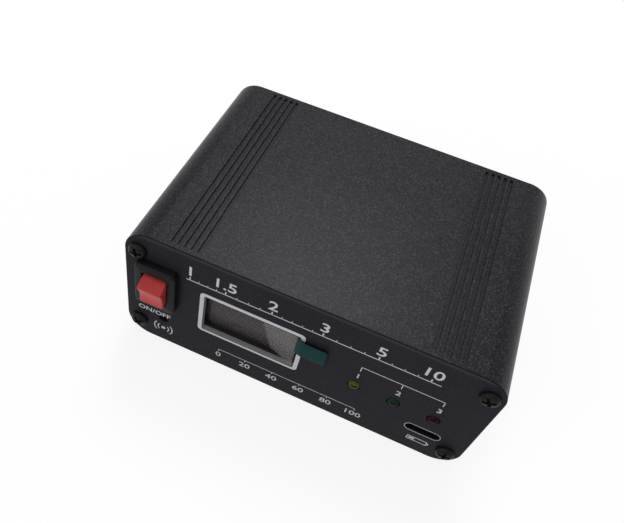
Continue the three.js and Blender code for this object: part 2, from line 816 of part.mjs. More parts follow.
// A strip of one thickness that follows a smooth line drawn in X and Y
function stripOutline(line, thickness, count) {
  const curve = new THREE.SplineCurve(line.map(([x, y]) => new THREE.Vector2(x, y)));
  const near = [];
  const far = [];
  for (let i = 0; i <= count; i += 1) {
    const point = curve.getPointAt(i / count);
    const along = curve.getTangentAt(i / count);
    const across = new THREE.Vector2(-along.y, along.x).multiplyScalar(thickness / 2);
    near.push(point.clone().sub(across));
    far.unshift(point.clone().add(across));
  }
  return new THREE.Shape([...near, ...far]);
}

// An outline drawn in X and Y, stood up between two heights
function stoodUp(outline, low, high) {
  const geometry = new THREE.ExtrudeGeometry(outline, { depth: high - low, bevelEnabled: false });
  geometry.translate(0, 0, low);
  return solidOf(geometry);
}

// The film lies on the glass, and its right end is lifted to the front of the window
const filmEndX = windowRight - filmEndGap;
const filmLiftX = windowRight - filmLiftLength;
const filmEndY = frontFace + tabClearance;
const filmSlope = (filmEndY - filmFront) / (filmEndX - filmLiftX);

function addFilm() {
  const left = windowX - windowWidth / 2 + filmInset;
  const outline = new THREE.Shape();
  outline.moveTo(left, filmFront);
  outline.lineTo(filmLiftX, filmFront);
  outline.lineTo(filmEndX, filmEndY);
  outline.lineTo(filmEndX, filmEndY + filmThickness);
  outline.lineTo(filmLiftX, glassFront);
  outline.lineTo(left, glassFront);
  const half = windowHeight / 2 - filmInset;
  addPart('screen_film', stoodUp(outline, windowZ - half, windowZ + half), 'clearFilm');
}

// The tab is held by the film's lifted end and stands out over the plate
function addPullTab() {
  const half = tabThickness / 2;
  const offset = tabClearance + half;
  const line = [
    [filmEndX - tabLap, filmEndY - tabLap * filmSlope - offset],
    [windowRight + tabLift / 2, frontFace - tabLift + half],
    [windowRight + tabReach / 2, frontFace - tabLift],
    [windowRight + tabReach, frontFace - tabLift - half],
  ];
  const top = windowZ + windowHeight / 2 - tabTopBelowWindow;
  const outline = stripOutline(line, tabThickness, tabSteps);
  addPart('pull_tab', stoodUp(outline, top - tabHeight, top), 'tealFilm');
}

function addDisplayHeader() {
  const front = displayBoardBack + solderGap;
  const strip = plainSlab(windowX, headerZ, headerWidth, headerSpacing, front, headerBack);
  const pinFront = headerBack - solderGap;
  const pinBack = headerBack + headerPinTail;
  const pins = Array.from({ length: headerPins }, (_, i) => {
    const x = windowX + (i - (headerPins - 1) / 2) * headerSpacing;
    return plainSlab(x, headerZ, headerPinWidth, headerPinWidth, pinFront, pinBack);
  });
  addPart('display_header', joined([strip, ...pins]), 'blackPlastic');
  const halfWidth = headerWidth / 2;
  const halfThick = ribbonThickness / 2;
  const section = [
    [-halfWidth, -halfThick],
    [halfWidth, -halfThick],
    [halfWidth, halfThick],
    [-halfWidth, halfThick],
  ];
  const start = pinBack + solderGap;
  const bottom = boardTop + solderGap;
  const drop = start + 2 * ribbonRise;
  const ribbon = swept(section, [
    [windowX, start, headerZ],
    [windowX, start + ribbonRise / 2, headerZ],
    [windowX, start + 3 * ribbonRise / 2, headerZ - ribbonRise / 2],
    [windowX, drop, headerZ - 2 * ribbonRise],
    [windowX, drop, bottom + ribbonRise / 2],
    [windowX, drop, bottom],
  ], ribbonSteps);
  addPart('display_ribbon', ribbon, 'greyLead');
}

// Lamps: a domed body with its base flange and two legs bent down through the board
function lampSolid(x) {
  const base = lampTip + lampLength;
  const dome = Array.from({ length: domeSteps }, (_, i) => {
    const angle = (Math.PI / 2) * (i / domeSteps);
    return [lampRadius * Math.sin(angle), lampTip + lampRadius - lampRadius * Math.cos(angle)];
  });
  const body = turned([
    ...dome,
    [lampRadius, lampTip + lampRadius],
    [lampRadius, base - lampFlangeThickness],
    [lampFlangeRadius, base - lampFlangeThickness],
    [lampFlangeRadius, base],
    [0, base],
  ], smallSides).translate([x, 0, lampZ]);
  const half = lampLegWidth / 2;
  const legY = base + lampLegRun;
  const legFoot = boardBottom - lampLegTail;
  const legs = [-1, 1].flatMap((side) => {
    const legX = x + (side * lampLegSpacing) / 2;
    const top = [legX + half, legY + half, lampZ + half];
    return [
      box([legX - half, base - half, lampZ - half], top),
      box([legX - half, legY - half, legFoot], top),
    ];
  });
  return joined([body, ...legs]);
}

function addLamps() {
  const names = ['work_lamp', 'full_lamp', 'charge_lamp'];
  const colours = ['yellowLamp', 'greenLamp', 'redLamp'];
  lampXs.forEach((x, i) => addPart(names[i], lampSolid(x), colours[i]));
}

// Charging socket under the board's front edge
function addUsbSocket() {
  const front = frontFace + usbRecess;
  const back = front + usbLength;
  const outer = slab(roundedOutline(usbX, usbZ, usbWidth, usbHeight, usbHeight / 2), front, back);
  const boreWidth = usbWidth - 2 * usbWall;
  const boreHeight = usbHeight - 2 * usbWall;
  const bore = slab(roundedOutline(usbX, usbZ, boreWidth, boreHeight, boreHeight / 2),
    front - cutOverrun, back + cutOverrun);
  addPart('usb_shell', outer.subtract(bore), 'nickel');
  const baseWidth = boreWidth - 2 * usbFitClearance;
  const baseHeight = boreHeight - 2 * usbFitClearance;
  const baseOutline = roundedOutline(usbX, usbZ, baseWidth, baseHeight, baseHeight / 2);
  const base = slab(baseOutline, back - usbBaseDepth, back);
  const tongue = plainSlab(usbX, usbZ, usbTongueWidth, usbTongueThickness,
    front + usbTongueRecess, back - usbBaseDepth / 2);
  addPart('usb_tongue', base.add(tongue), 'blackPlastic');
}

function addBuzzer() {
  const front = plateBack + buzzerPlateGap;
  const back = front + buzzerDepth;
  const solid = turned([
    [0, front + buzzerMouthDepth],
    [buzzerMouthRadius, front + buzzerMouthDepth],
    [buzzerMouthRadius, front],
    [buzzerRadius, front],
    [buzzerRadius, back],
    [0, back],
  ]).translate([buzzerX, 0, buzzerZ]);
  addPart('buzzer', solid, 'blackPlastic');
  const leadX = buzzerX + twinLeadRadius;
  const end = boardBottom - solderGap;
  const lead = wire(twinLeadRadius, [
    [leadX, back + solderGap, buzzerZ],
    [leadX, back + twinLeadRadius, buzzerZ],
    [leadX, back + buzzerDepth / 2, buzzerZ - twinLeadRadius],
    [leadX, back + buzzerDepth, buzzerZ],
    [leadX, back + buzzerDepth, end],
  ], leadSteps);
  addPart('buzzer_lead', lead, 'redLead');
}

// Main board, stepped back on the left behind the display, with holes for the lamps' legs
function addMainBoard() {
  const wholeBoard = box([-boardHalfWidth, boardFront, boardBottom],
    [boardHalfWidth, boardRear, boardTop]);
  const step = box([-boardHalfWidth - cutOverrun, boardFront - cutOverrun, boardBottom - cutOverrun],
    [boardStepX, boardStepY, boardTop + cutOverrun]);
  const legY = lampTip + lampLength + lampLegRun;
  const holes = lampXs.flatMap((x) => [-1, 1].map((side) => post(x + (side * lampLegSpacing) / 2, legY,
    lampLegHoleRadius, boardBottom - cutOverrun, boardTop + cutOverrun, legHoleSides)));
  addPart('main_board', cutBy(wholeBoard, [step, ...holes]), 'greenBoard');
}

function addChip() {
  const half = chipSize / 2;
  const bottom = boardTop + solderGap;
  const body = box([chipX - half, chipY - half, bottom],
    [chipX + half, chipY + half, bottom + chipHeight]);
  const reach = half + chipLegReach;
  const legTop = bottom + chipLegHeight;
  const legs = Array.from({ length: chipLegs }, (_, i) => {
    const place = (i - (chipLegs - 1) / 2) * chipLegSpacing;
    const near = place - chipLegWidth / 2;
    const far = place + chipLegWidth / 2;
    return [
      box([chipX - reach, chipY + near, bottom], [chipX + reach, chipY + far, legTop]),
      box([chipX + near, chipY - reach, bottom], [chipX + far, chipY + reach, legTop]),
    ];
  }).flat();
  addPart('microcontroller', joined([body, ...legs]), 'blackPlastic');
}

function addRegulator() {
  const bottom = boardTop + solderGap;
  const halfLength = regulatorLength / 2;
  const halfWidth = regulatorWidth / 2;
  const body = box([regulatorX - halfLength, regulatorY - halfWidth, bottom],
    [regulatorX + halfLength, regulatorY + halfWidth, bottom + regulatorHeight]);
  const tabEnd = regulatorY + halfWidth + regulatorTabReach;
  const tab = box([regulatorX - regulatorTabWidth / 2, regulatorY, bottom],
    [regulatorX + regulatorTabWidth / 2, tabEnd, bottom + chipLegHeight]);
  const legs = [-1, 0, 1].map((i) => {
    const x = regulatorX + i * regulatorLegSpacing;
    return box([x - regulatorLegWidth / 2, regulatorY - halfWidth - regulatorTabReach, bottom],
      [x + regulatorLegWidth / 2, regulatorY, bottom + chipLegHeight]);
  });
  addPart('voltage_regulator', joined([body, tab, ...legs]), 'blackPlastic');
}

function addCapacitor() {
  const low = solderGap;
  const waist = low + capacitorBaseHeight + capacitorGrooveHeight;
  const geometry = new THREE.LatheGeometry([
    [0, low],
    [capacitorRadius, low],
    [capacitorRadius, low + capacitorBaseHeight],
    [capacitorRadius - capacitorGroove, waist - capacitorGroove],
    [capacitorRadius, waist + capacitorGroove],
    [capacitorRadius, low + capacitorHeight - capacitorGroove],
    [capacitorRadius - capacitorGroove, low + capacitorHeight],
    [0, low + capacitorHeight],
  ].map(([radius, height]) => new THREE.Vector2(radius, height)), smallSides);
  geometry.rotateX(Math.PI / 2);
  geometry.translate(regulatorX, capacitorY, boardTop);
  addPart('capacitor', solidOf(geometry), 'nickel');
}

// Ring cores stand on edge with their holes along X
function coreSolid(x, y) {
  const half = coreHeight / 2;
  return turned([
    [coreInnerRadius + coreChamfer, -half],
    [coreOuterRadius - coreChamfer, -half],
    [coreOuterRadius, coreChamfer - half],
    [coreOuterRadius, half - coreChamfer],
    [coreOuterRadius - coreChamfer, half],
    [coreInnerRadius + coreChamfer, half],
    [coreInnerRadius, half - coreChamfer],
    [coreInnerRadius, coreChamfer - half],
  ]).rotate([0, 0, 90]).translate([x, y, lineZ]);
}

function power(value, exponent) {
  return Math.sign(value) * Math.abs(value) ** exponent;
}

// A squared loop round the core's section, carried round the ring from one side of its foot
// to the other
function windingPoints(x, y) {
  const ringRadius = (coreOuterRadius + coreInnerRadius) / 2;
  const off = windingClearance + windingWireRadius;
  const radialHalf = (coreOuterRadius - coreInnerRadius) / 2 + off;
  const axialHalf = coreHeight / 2 + off;
  const foot = -Math.PI / 2;
  const open = THREE.MathUtils.degToRad(windingOpenAngle);
  const count = windingTurns * coilSteps;
  const loops = Array.from({ length: count + 1 }, (_, i) => {
    const round = foot + open / 2 + ((2 * Math.PI - open) * i) / count;
    const turn = (2 * Math.PI * i) / coilSteps;
    const radius = ringRadius + radialHalf * power(Math.cos(turn), 2 / windingSquareness);
    const along = axialHalf * power(Math.sin(turn), 2 / windingSquareness);
    return [x + along, y + radius * Math.cos(round), lineZ + radius * Math.sin(round)];
  });
  const bottom = boardTop + solderGap;
  const footEnd = ([px, py]) => [px, py, bottom];
  return [footEnd(loops[0]), ...loops, footEnd(loops[count])];
}

// Least distance between the surfaces of two stretches of one winding that lie more than
// half a turn apart
function leastSelfGap(points, radius) {
  let least = Infinity;
  points.forEach((a, i) => points.slice(i + coilSteps / 2 + 1).forEach((b) => {
    least = Math.min(least, Math.hypot(a[0] - b[0], a[1] - b[1], a[2] - b[2]) - 2 * radius);
  }));
  return least;
}

function addCoreWithWinding(name, x, y) {
  addPart(`${name}_core`, coreSolid(x, y), 'ferrite');
  const points = windingPoints(x, y);
  const solid = wire(windingWireRadius, points, points.length, coilSides);
  addPart(`${name}_winding`, solid, 'enamelledCopper');
  const gap = leastSelfGap(points, windingWireRadius);
  console.log(`${name}_winding least gap to itself, mm:`, gap.toFixed(2));
}

// The line between the two sockets runs through the current core
function addWires() {
  const side = socketSpacing / 2;
  const end = rearInner - contactStemInside + solderCupDepth - cupClearance;
  const across = currentCoreY;
  const bend = lineBendRadius;
  const half = [
    [-side, end, lineZ],
    [-side, across + 2 * bend, lineZ],
    [-side, across + bend, lineZ],
    [-side + bend * bendShare, across + bend * bendShare, lineZ],
    [-side + bend, across, lineZ],
    [-side + 2 * bend, across, lineZ],
  ];
  const points = [...half, ...half.map(([x, y, z]) => [-x, y, z]).reverse()];
  addPart('through_line', wire(lineWireRadius, points, lineSteps), 'tinnedCopper');
  const reach = sampleWireReach;
  const foot = boardTop + solderGap;
  const sample = wire(sampleWireRadius, [
    [voltageCoreX - reach, voltageCoreY, foot],
    [voltageCoreX - reach, voltageCoreY, lineZ - reach / 2],
    [voltageCoreX - reach * bendRunShare, voltageCoreY, lineZ],
    [voltageCoreX + reach * bendRunShare, voltageCoreY, lineZ],
    [voltageCoreX + reach, voltageCoreY, lineZ - reach / 2],
    [voltageCoreX + reach, voltageCoreY, foot],
  ], longLeadSteps);
  addPart('sample_wire', sample, 'tinnedCopper');
}

// Coaxial socket: threaded body, insulator, centre contact, washer and nut
function threadPoints(start, end) {
  const turns = Math.floor((end - start) / threadPitch);
  return Array.from({ length: turns }, (_, i) => [
    [threadRootRadius, start + i * threadPitch],
    [socketShankRadius, start + (i + 1 / 2) * threadPitch],
  ]).flat();
}

const rimY = rearFace + socketFlangeThickness + socketBarrelLength;
const shankEnd = rearInner - socketShankInside;
const boreStepY = rearInner + socketStepInside;
const contactFront = rimY - contactRecess;
const contactShoulder = contactFront - contactTubeLength;

function socketBody() {
  const barrelStart = rearFace + socketFlangeThickness;
  const solid = turned([
    [socketRearBore, shankEnd],
    [socketShankRadius, shankEnd],
    [socketShankRadius, rearFace],
    [socketFlangeRadius, rearFace],
    [socketFlangeRadius, barrelStart],
    ...threadPoints(barrelStart, rimY),
    [threadRootRadius, rimY],
    [socketBore, rimY],
    [socketBore, boreStepY],
    [socketRearBore, boreStepY],
  ], threadSides);
  const half = rimNotchWidth / 2;
  const reach = socketShankRadius + cutOverrun;
  const notches = [
    box([-reach, rimY - rimNotchDepth, -half], [reach, rimY + cutOverrun, half]),
    box([-half, rimY - rimNotchDepth, -reach], [half, rimY + cutOverrun, reach]),
  ];
  return cutBy(solid, notches);
}

function insulatorSolid() {
  const step = boreStepY + insulatorClearance;
  const shoulder = contactShoulder - insulatorClearance;
  return turned([
    [contactStemRadius + insulatorClearance, shankEnd],
    [socketRearBore - insulatorClearance, shankEnd],
    [socketRearBore - insulatorClearance, step],
    [socketBore - insulatorClearance, step],
    [socketBore - insulatorClearance, rimY - insulatorRecess],
    [contactRadius + insulatorClearance, rimY - insulatorRecess],
    [contactRadius + insulatorClearance, shoulder],
    [contactStemRadius + insulatorClearance, shoulder],
  ], threadSides);
}

function contactSolid() {
  const cupEnd = rearInner - contactStemInside;
  const solid = turned([
    [0, cupEnd + solderCupDepth],
    [solderCupBore, cupEnd + solderCupDepth],
    [solderCupBore, cupEnd],
    [solderCupRadius, cupEnd],
    [solderCupRadius, cupEnd + solderCupLength],
    [contactStemRadius, cupEnd + solderCupLength],
    [contactStemRadius, contactShoulder],
    [contactRadius, contactShoulder],
    [contactRadius, contactFront],
    [contactBore, contactFront],
    [contactBore, contactFront - contactBoreDepth],
    [0, contactFront - contactBoreDepth],
  ], smallSides);
  const half = contactSlotWidth / 2;
  const reach = contactRadius + cutOverrun;
  const low = contactFront - contactSlotDepth;
  const high = contactFront + cutOverrun;
  return cutBy(solid, [
    box([-reach, low, -half], [reach, high, half]),
    box([-half, low, -reach], [half, high, reach]),
  ]);
}

function ring(outer, inner, front, back, sides) {
  return roundBar(0, 0, outer, front, back, sides)
    .subtract(roundBar(0, 0, inner, front - cutOverrun, back + cutOverrun, threadSides));
}

function addSockets() {
  const washerFront = rearInner - washerThickness;
  const nutFront = washerFront - nutThickness;
  const boreRadius = socketShankRadius + nutClearance;
  [['antenna', -1], ['radio', 1]].forEach(([name, side]) => {
    const place = [(side * socketSpacing) / 2, 0, lineZ];
    const washer = ring(washerRadius, boreRadius, washerFront, rearInner, roundSides);
    const nut = ring(nutAcrossCorners / 2, boreRadius, nutFront, washerFront, nutSides);
    addPart(`${name}_socket_body`, socketBody().translate(place), 'nickel');
    addPart(`${name}_socket_insulator`, insulatorSolid().translate(place), 'whitePlastic');
    addPart(`${name}_socket_contact`, contactSolid().translate(place), 'brass');
    addPart(`${name}_socket_washer`, washer.translate(place), 'nickel');
    addPart(`${name}_socket_nut`, nut.translate(place), 'nickel');
  });
}

// Battery on the floor under the board, with its leads and plug
function addBattery() {
  const low = shellWall + batteryTape;
  const middle = low + batteryThickness / 2;
  const outline = roundedOutline(batteryX, middle, batteryWidth, batteryThickness, batteryEdgeRadius);
  const back = batteryY + batteryDepth / 2;
  const front = batteryY - batteryDepth / 2;
  const pouch = slab(outline, front, back);
  const flap = plainSlab(batteryX, middle, batteryWidth - 2 * batteryEdgeRadius, batteryFlapThickness,
    front - batteryFlapDepth, front + batteryEdgeRadius);
  addPart('battery', pouch.add(flap), 'batteryFoil');
  const socketLow = boardBottom - solderGap - plugSocketHeight;
  const plugHigh = socketLow - solderGap;
  const plugBox = (lowZ, highZ) => box([plugX - plugWidth / 2, plugY - plugDepth / 2, lowZ],
    [plugX + plugWidth / 2, plugY + plugDepth / 2, highZ]);
  addPart('battery_socket', plugBox(socketLow, socketLow + plugSocketHeight), 'whitePlastic');
  addPart('battery_plug', plugBox(plugHigh - plugHeight, plugHigh), 'whitePlastic');
  const leadZ = plugHigh - plugHeight / 2;
  const flapFront = front - batteryFlapDepth - solderGap;
  const plugFront = plugY - plugDepth / 2 - solderGap;
  ['red', 'black'].forEach((colour, i) => {
    const offset = (i - 1 / 2) * batteryLeadSpacing;
    const startX = batteryX - batteryWidth / 2 + plugLeadRun + offset;
    const turnY = flapFront - plugLeadRun / 2 - offset;
    const lead = wire(batteryLeadRadius, [
      [startX, flapFront, middle],
      [startX, flapFront - batteryLeadRadius, middle],
      [startX - plugLeadRun / 2, turnY - batteryLeadRadius, middle],
      [plugX - offset + plugLeadRun / 2, turnY, middle],
      [plugX - offset, turnY + plugLeadRun, (middle + leadZ) / 2],
      [plugX - offset, plugFront - plugLeadRun, leadZ],
      [plugX - offset, plugFront, leadZ],
    ], longLeadSteps);
    addPart(`battery_lead_${colour}`, lead, `${colour}Lead`);
  });
}

// Leads from the switch's terminals down to the board
function addSwitchLeads() {
  const start = terminalEnd + solderGap;
  const foot = boardTop + solderGap;
  [[switchZ, 'common', 1], [loadTerminalZ, 'load', -1]].forEach(([z, name, side]) => {
    const x = switchX + side * switchLeadRadius;
    const reach = start + switchLeadRun * (side > 0 ? 2 : 1);
    const lead = wire(switchLeadRadius, [
      [x, start, z],
      [x, start + switchLeadRadius, z],
      [x, reach, z - switchLeadRun / 2],
      [x, reach, foot + switchLeadRadius],
      [x, reach, foot],
    ], leadSteps);
    addPart(`switch_lead_${name}`, lead, side > 0 ? 'redLead' : 'blackLead');
  });
}

addShells();
addFrontPlate();
addRearPlate();
addScrews();
addSwitch();
addSwitchLeads();
addDisplayStack();
addFilm();
addPullTab();
addDisplayHeader();
addLamps();
addUsbSocket();
addBuzzer();
addMainBoard();
addChip();
addRegulator();
addCapacitor();
addCoreWithWinding('current', currentCoreX, currentCoreY);
addCoreWithWinding('voltage', voltageCoreX, voltageCoreY);
addWires();
addSockets();
addBattery();

export default group;
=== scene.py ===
import math

import bmesh
import bpy
import numpy as np
from mathutils import Matrix, Vector
from mathutils.geometry import tessellate_polygon


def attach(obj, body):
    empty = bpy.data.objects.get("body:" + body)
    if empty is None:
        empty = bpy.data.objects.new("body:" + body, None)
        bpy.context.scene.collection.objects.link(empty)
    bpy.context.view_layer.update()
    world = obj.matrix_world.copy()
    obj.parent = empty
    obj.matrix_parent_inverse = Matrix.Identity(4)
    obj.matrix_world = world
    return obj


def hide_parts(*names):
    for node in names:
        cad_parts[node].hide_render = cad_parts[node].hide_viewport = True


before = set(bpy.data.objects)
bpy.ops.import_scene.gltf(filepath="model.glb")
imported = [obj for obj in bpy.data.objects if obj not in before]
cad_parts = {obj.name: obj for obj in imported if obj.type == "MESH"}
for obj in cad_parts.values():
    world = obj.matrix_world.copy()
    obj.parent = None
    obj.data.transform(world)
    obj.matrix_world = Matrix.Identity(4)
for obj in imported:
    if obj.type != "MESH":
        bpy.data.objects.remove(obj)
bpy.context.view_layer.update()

# A small SWR and power meter: sizes in millimetres, in the frame of the CAD model.
MM = 0.001
CASE_WIDTH, CASE_HEIGHT, CORNER = 88.0, 38.0, 6.5
SHELL_BACK, SHELL_FRONT = 30.0, -30.0
FACE = -31.5
REAR = 31.5
MIDDLE_Z = 19.0
SCREWS = ((-40.5, 32.5), (-40.5, 5.5), (40.5, 32.5), (40.5, 5.5))
SCREW_TURNS = (0.06, 0.2, 0.13, 0.02)
SWITCH_X, SWITCH_Z, PIVOT_Y = -35.4, 23.0, -30.9
WINDOW = (-11.6, 19.1, 23.7, 12.5)
LAMPS = (15.0, 24.5, 34.0)
LAMP_Z = 16.2
LAMP_TIP = FACE - 0.7
USB_X, USB_Z = 33.6, 9.4
SOUND_X, SOUND_Z = -33.9, 9.5
SOCKETS = (("antenna", -20.5), ("radio", 20.5))
LINE_Z = 19.2
BOARD_TOP = 12.73


# --- Surfaces -----------------------------------------------------------------------------

def grid_faces(rows, columns, wrap=False):
    """Quads between the neighbours of a grid that closes round its columns, and with wrap
    round its rows too."""
    i, j = np.meshgrid(np.arange(rows if wrap else rows - 1), np.arange(columns), indexing="ij")
    below, beside = (i + 1) % rows, (j + 1) % columns
    corners = (i * columns + j, i * columns + beside, below * columns + beside, below * columns + j)
    return [tuple(f) for f in np.stack(corners, -1).reshape(-1, 4).tolist()]


def loft(rings, caps=(True, True), wrap=False):
    """A skin over rings of points, one row each, with a flat face on its first and last row."""
    rings = np.asarray(rings, float)
    rows, columns = rings.shape[:2]
    faces = grid_faces(rows, columns, wrap)
    if caps[0] and not wrap:
        faces.append(tuple(range(columns)))
    if caps[1] and not wrap:
        faces.append(tuple(range((rows - 1) * columns, rows * columns)))
    return rings.reshape(-1, 3), faces


def lathe(profile, x, z, steps=64, wrap=False):
    """Turns [radius, y] points about a line along Y: x is the middle plus the radius times the
    cosine of the turn, and z the middle plus the radius times its sine."""
    profile = np.asarray(profile, float)
    turn = np.linspace(0, 2 * math.pi, steps, endpoint=False)
    radius, y = profile[:, :1], profile[:, 1:]
    rings = np.stack([x + radius * np.cos(turn), y + 0 * turn, z + radius * np.sin(turn)], -1)
    return loft(rings, (profile[0, 0] > 1e-9, profile[-1, 0] > 1e-9), wrap)


def rounded(x, z, width, height, radius, steps=10):
    """A rectangle with round corners: each corner's points are its middle plus the radius times
    the cosine and sine of an angle that runs through its quarter turn."""
    turn = np.linspace(0, math.pi / 2, steps + 1)
    sides = ((1, 1), (-1, 1), (-1, -1), (1, -1))
    corners = []
    for quarter, (right, up) in enumerate(sides):
        angle = turn + quarter * math.pi / 2
        corners.append(np.stack([
            x + right * (width / 2 - radius) + radius * np.cos(angle),
            z + up * (height / 2 - radius) + radius * np.sin(angle)], 1))
    return np.concatenate(corners)


def circle(x, z, radius, steps=48):
    """Points of a circle: the middle plus the radius times the cosine and sine of the turn."""
    turn = np.linspace(0, 2 * math.pi, steps, endpoint=False)
    return np.stack([x + radius * np.cos(turn), z + radius * np.sin(turn)], 1)


def at_depth(outline, y):
    """Stands a flat outline of X and Z at one depth."""
    return np.stack([outline[:, 0], np.full(len(outline), y), outline[:, 1]], 1)


def plate(outer, holes, stations):
    """A sheet across Y with holes. Each outline is a function of how far it grows; at each
    station (y, inset) the outer one shrinks by the inset and the holes grow by it, and flat
    faces fill the first and last station."""
    points, faces, loops = [], [], {0: [], len(stations) - 1: []}
    start = 0
    for side, outline in [(-1, outer)] + [(1, hole) for hole in holes]:
        rings = np.stack([at_depth(outline(side * inset), y) for y, inset in stations])
        rows, columns = rings.shape[:2]
        points.append(rings.reshape(-1, 3))
        faces += [tuple(start + k for k in f) for f in grid_faces(rows, columns)]
        for row in loops:
            loops[row].append(start + row * columns + np.arange(columns))
        start += rows * columns
    points = np.concatenate(points)
    for row, rims in loops.items():
        flat = [[Vector((points[k, 0], points[k, 2], 0)) for k in rim] for rim in rims]
        index = np.concatenate(rims)
        faces += [tuple(int(index[k]) for k in t) for t in tessellate_polygon(flat)]
    return points, faces


def turned_about_x(points, degrees, y, z):
    """Turns points about a line along X through y and z."""
    c, s = math.cos(math.radians(degrees)), math.sin(math.radians(degrees))
    across, up = points[..., 1] - y, points[..., 2] - z
    return np.stack([points[..., 0], y + across * c - up * s, z + across * s + up * c], -1)


def block(low, high, edge=0.0, steps=3):
    """A box whose upright edges along Y are rounded."""
    (x0, y0, z0), (x1, y1, z1) = low, high
    outline = rounded((x0 + x1) / 2, (z0 + z1) / 2, x1 - x0, z1 - z0, max(edge, 1e-4), steps)
    return loft([at_depth(outline, y0), at_depth(outline, y1)])


def smooth_path(points, steps):
    """A centripetal Catmull-Rom line through the points: each stretch is the cubic that leaves
    and arrives with slopes weighed by the square roots of the distances between its points."""
    points = np.asarray(points, float)
    ends = 2 * points[[0, -1]] - points[[1, -2]]
    p = np.concatenate([ends[:1], points, ends[1:]])
    reach = np.maximum(np.linalg.norm(np.diff(p, axis=0), axis=1)[:, None], 1e-9) ** 0.5
    d0, d1, d2 = reach[:-2], reach[1:-1], reach[2:]
    p0, p1, p2, p3 = p[:-3], p[1:-2], p[2:-1], p[3:]
    m1 = ((p1 - p0) / d0 - (p2 - p0) / (d0 + d1) + (p2 - p1) / d1) * d1
    m2 = ((p2 - p1) / d1 - (p3 - p1) / (d1 + d2) + (p3 - p2) / d2) * d1
    t = np.linspace(0, 1, steps, endpoint=False)[:, None, None]
    line = ((2 * t**3 - 3 * t**2 + 1) * p1 + (t**3 - 2 * t**2 + t) * m1
            + (3 * t**2 - 2 * t**3) * p2 + (t**3 - t**2) * m2)
    line = line.transpose(1, 0, 2).reshape(-1, 3)
    return np.concatenate([line, points[-1:]])


def tube(path, radius, up, sides=16):
    """A round skin along a path. At each point the ring lies across the line's direction, on
    the side vector, the direction crossed with up, and on the vector square to both."""
    path = np.asarray(path, float)
    along = np.gradient(path, axis=0)
    along /= np.linalg.norm(along, axis=1)[:, None]
    side = np.cross(along, np.broadcast_to(np.asarray(up, float), path.shape))
    side /= np.linalg.norm(side, axis=1)[:, None]
    rise = np.cross(side, along)
    turn = np.linspace(0, 2 * math.pi, sides, endpoint=False)[None, :, None]
    radius = np.broadcast_to(np.asarray(radius, float), (len(path),))[:, None, None]
    ring = np.cos(turn) * side[:, None] + np.sin(turn) * rise[:, None]
    return loft(path[:, None] + radius * ring)


def turned_rows(rows, turn, x=0.0, z=0.0):
    """Rings round a line along Y. Each row is a radius and a depth, one number or one for each
    turn: x is the middle plus the radius times the turn's cosine, and z plus it times the sine."""
    radius, y = (np.stack([0 * turn + row[k] for row in rows]) for k in (0, 1))
    return np.stack([x + radius * np.cos(turn), y, z + radius * np.sin(turn)], -1)


def stacked(surfaces):
    """Several surfaces as one list of points and faces."""
    points, faces, start = [], [], 0
    for some, corners in surfaces:
        points.append(some)
        faces += [tuple(start + k for k in f) for f in corners]
        start += len(some)
    return np.concatenate(points), faces


def in_scene(name, data):
    """A new object of the scene."""
    made = bpy.data.objects.new(name, data)
    bpy.context.scene.collection.objects.link(made)
    return made


def piece(name, body, finish, slot, surfaces, hides=(), sharp=35, others=()):
    """One piece from surfaces in millimetres. Doubles are merged and faces turned outwards.
    others are more finishes, each with a test on the faces' middles and normals that says
    which of them take it."""
    points, faces = stacked(surfaces)
    mesh = bpy.data.meshes.new(name)
    mesh.from_pydata((points * MM).tolist(), [], faces)
    tidy = bmesh.new()
    tidy.from_mesh(mesh)
    bmesh.ops.remove_doubles(tidy, verts=tidy.verts, dist=1e-7)
    bmesh.ops.recalc_face_normals(tidy, faces=tidy.faces)
    tidy.to_mesh(mesh)
    tidy.free()
    mesh.shade_smooth()
    mesh.set_sharp_from_angle(angle=math.radians(sharp))
    mesh.materials.append(finish)
    count = len(mesh.polygons)
    middles, normals = np.zeros(count * 3), np.zeros(count * 3)
    mesh.polygons.foreach_get("center", middles)
    mesh.polygons.foreach_get("normal", normals)
    chosen = np.zeros(count, np.int32)
    for number, (other, test) in enumerate(others, 1):
        mesh.materials.append(other)
        chosen[test(middles.reshape(-1, 3) / MM, normals.reshape(-1, 3))] = number
    mesh.polygons.foreach_set("material_index", chosen)
    made = in_scene(name, mesh)
    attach(made, body)
    if hides:
        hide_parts(*hides)
    return made


def round_edges(made, width, segments=3, angle=40):
    """Rounds a piece's sharp edges by a width in millimetres."""
    bevel = made.modifiers.new("edges", "BEVEL")
    bevel.width = width * MM
    bevel.segments = segments
    bevel.limit_method = "ANGLE"
    bevel.angle_limit = math.radians(angle)
    bevel.harden_normals = False


# --- Finishes -----------------------------------------------------------------------------

class Value:
    """A socket in a material. Arithmetic on it adds Math nodes."""

    def __init__(self, tree, socket):
        self.tree = tree
        self.socket = socket

    def _math(self, operation, first, second):
        return add_node(self.tree, "ShaderNodeMath", {"operation": operation},
                        {0: first, 1: second})

    def __add__(self, other):
        return self._math("ADD", self, other)

    def __radd__(self, other):
        return self._math("ADD", other, self)

    def __sub__(self, other):
        return self._math("SUBTRACT", self, other)

    def __rsub__(self, other):
        return self._math("SUBTRACT", other, self)

    def __mul__(self, other):
        return self._math("MULTIPLY", self, other)

    def __pow__(self, other):
        return self._math("POWER", self, other)


def add_node(tree, kind, settings=None, inputs=None, output=0):
    """Adds a node: its settings first, then its sockets' values or links."""
    made = tree.nodes.new(kind)
    for label, value in (settings or {}).items():
        setattr(made, label, value)
    for label, value in (inputs or {}).items():
        if isinstance(value, Value):
            tree.links.new(value.socket, made.inputs[label])
        else:
            made.inputs[label].default_value = value
    return Value(tree, made.outputs[output])


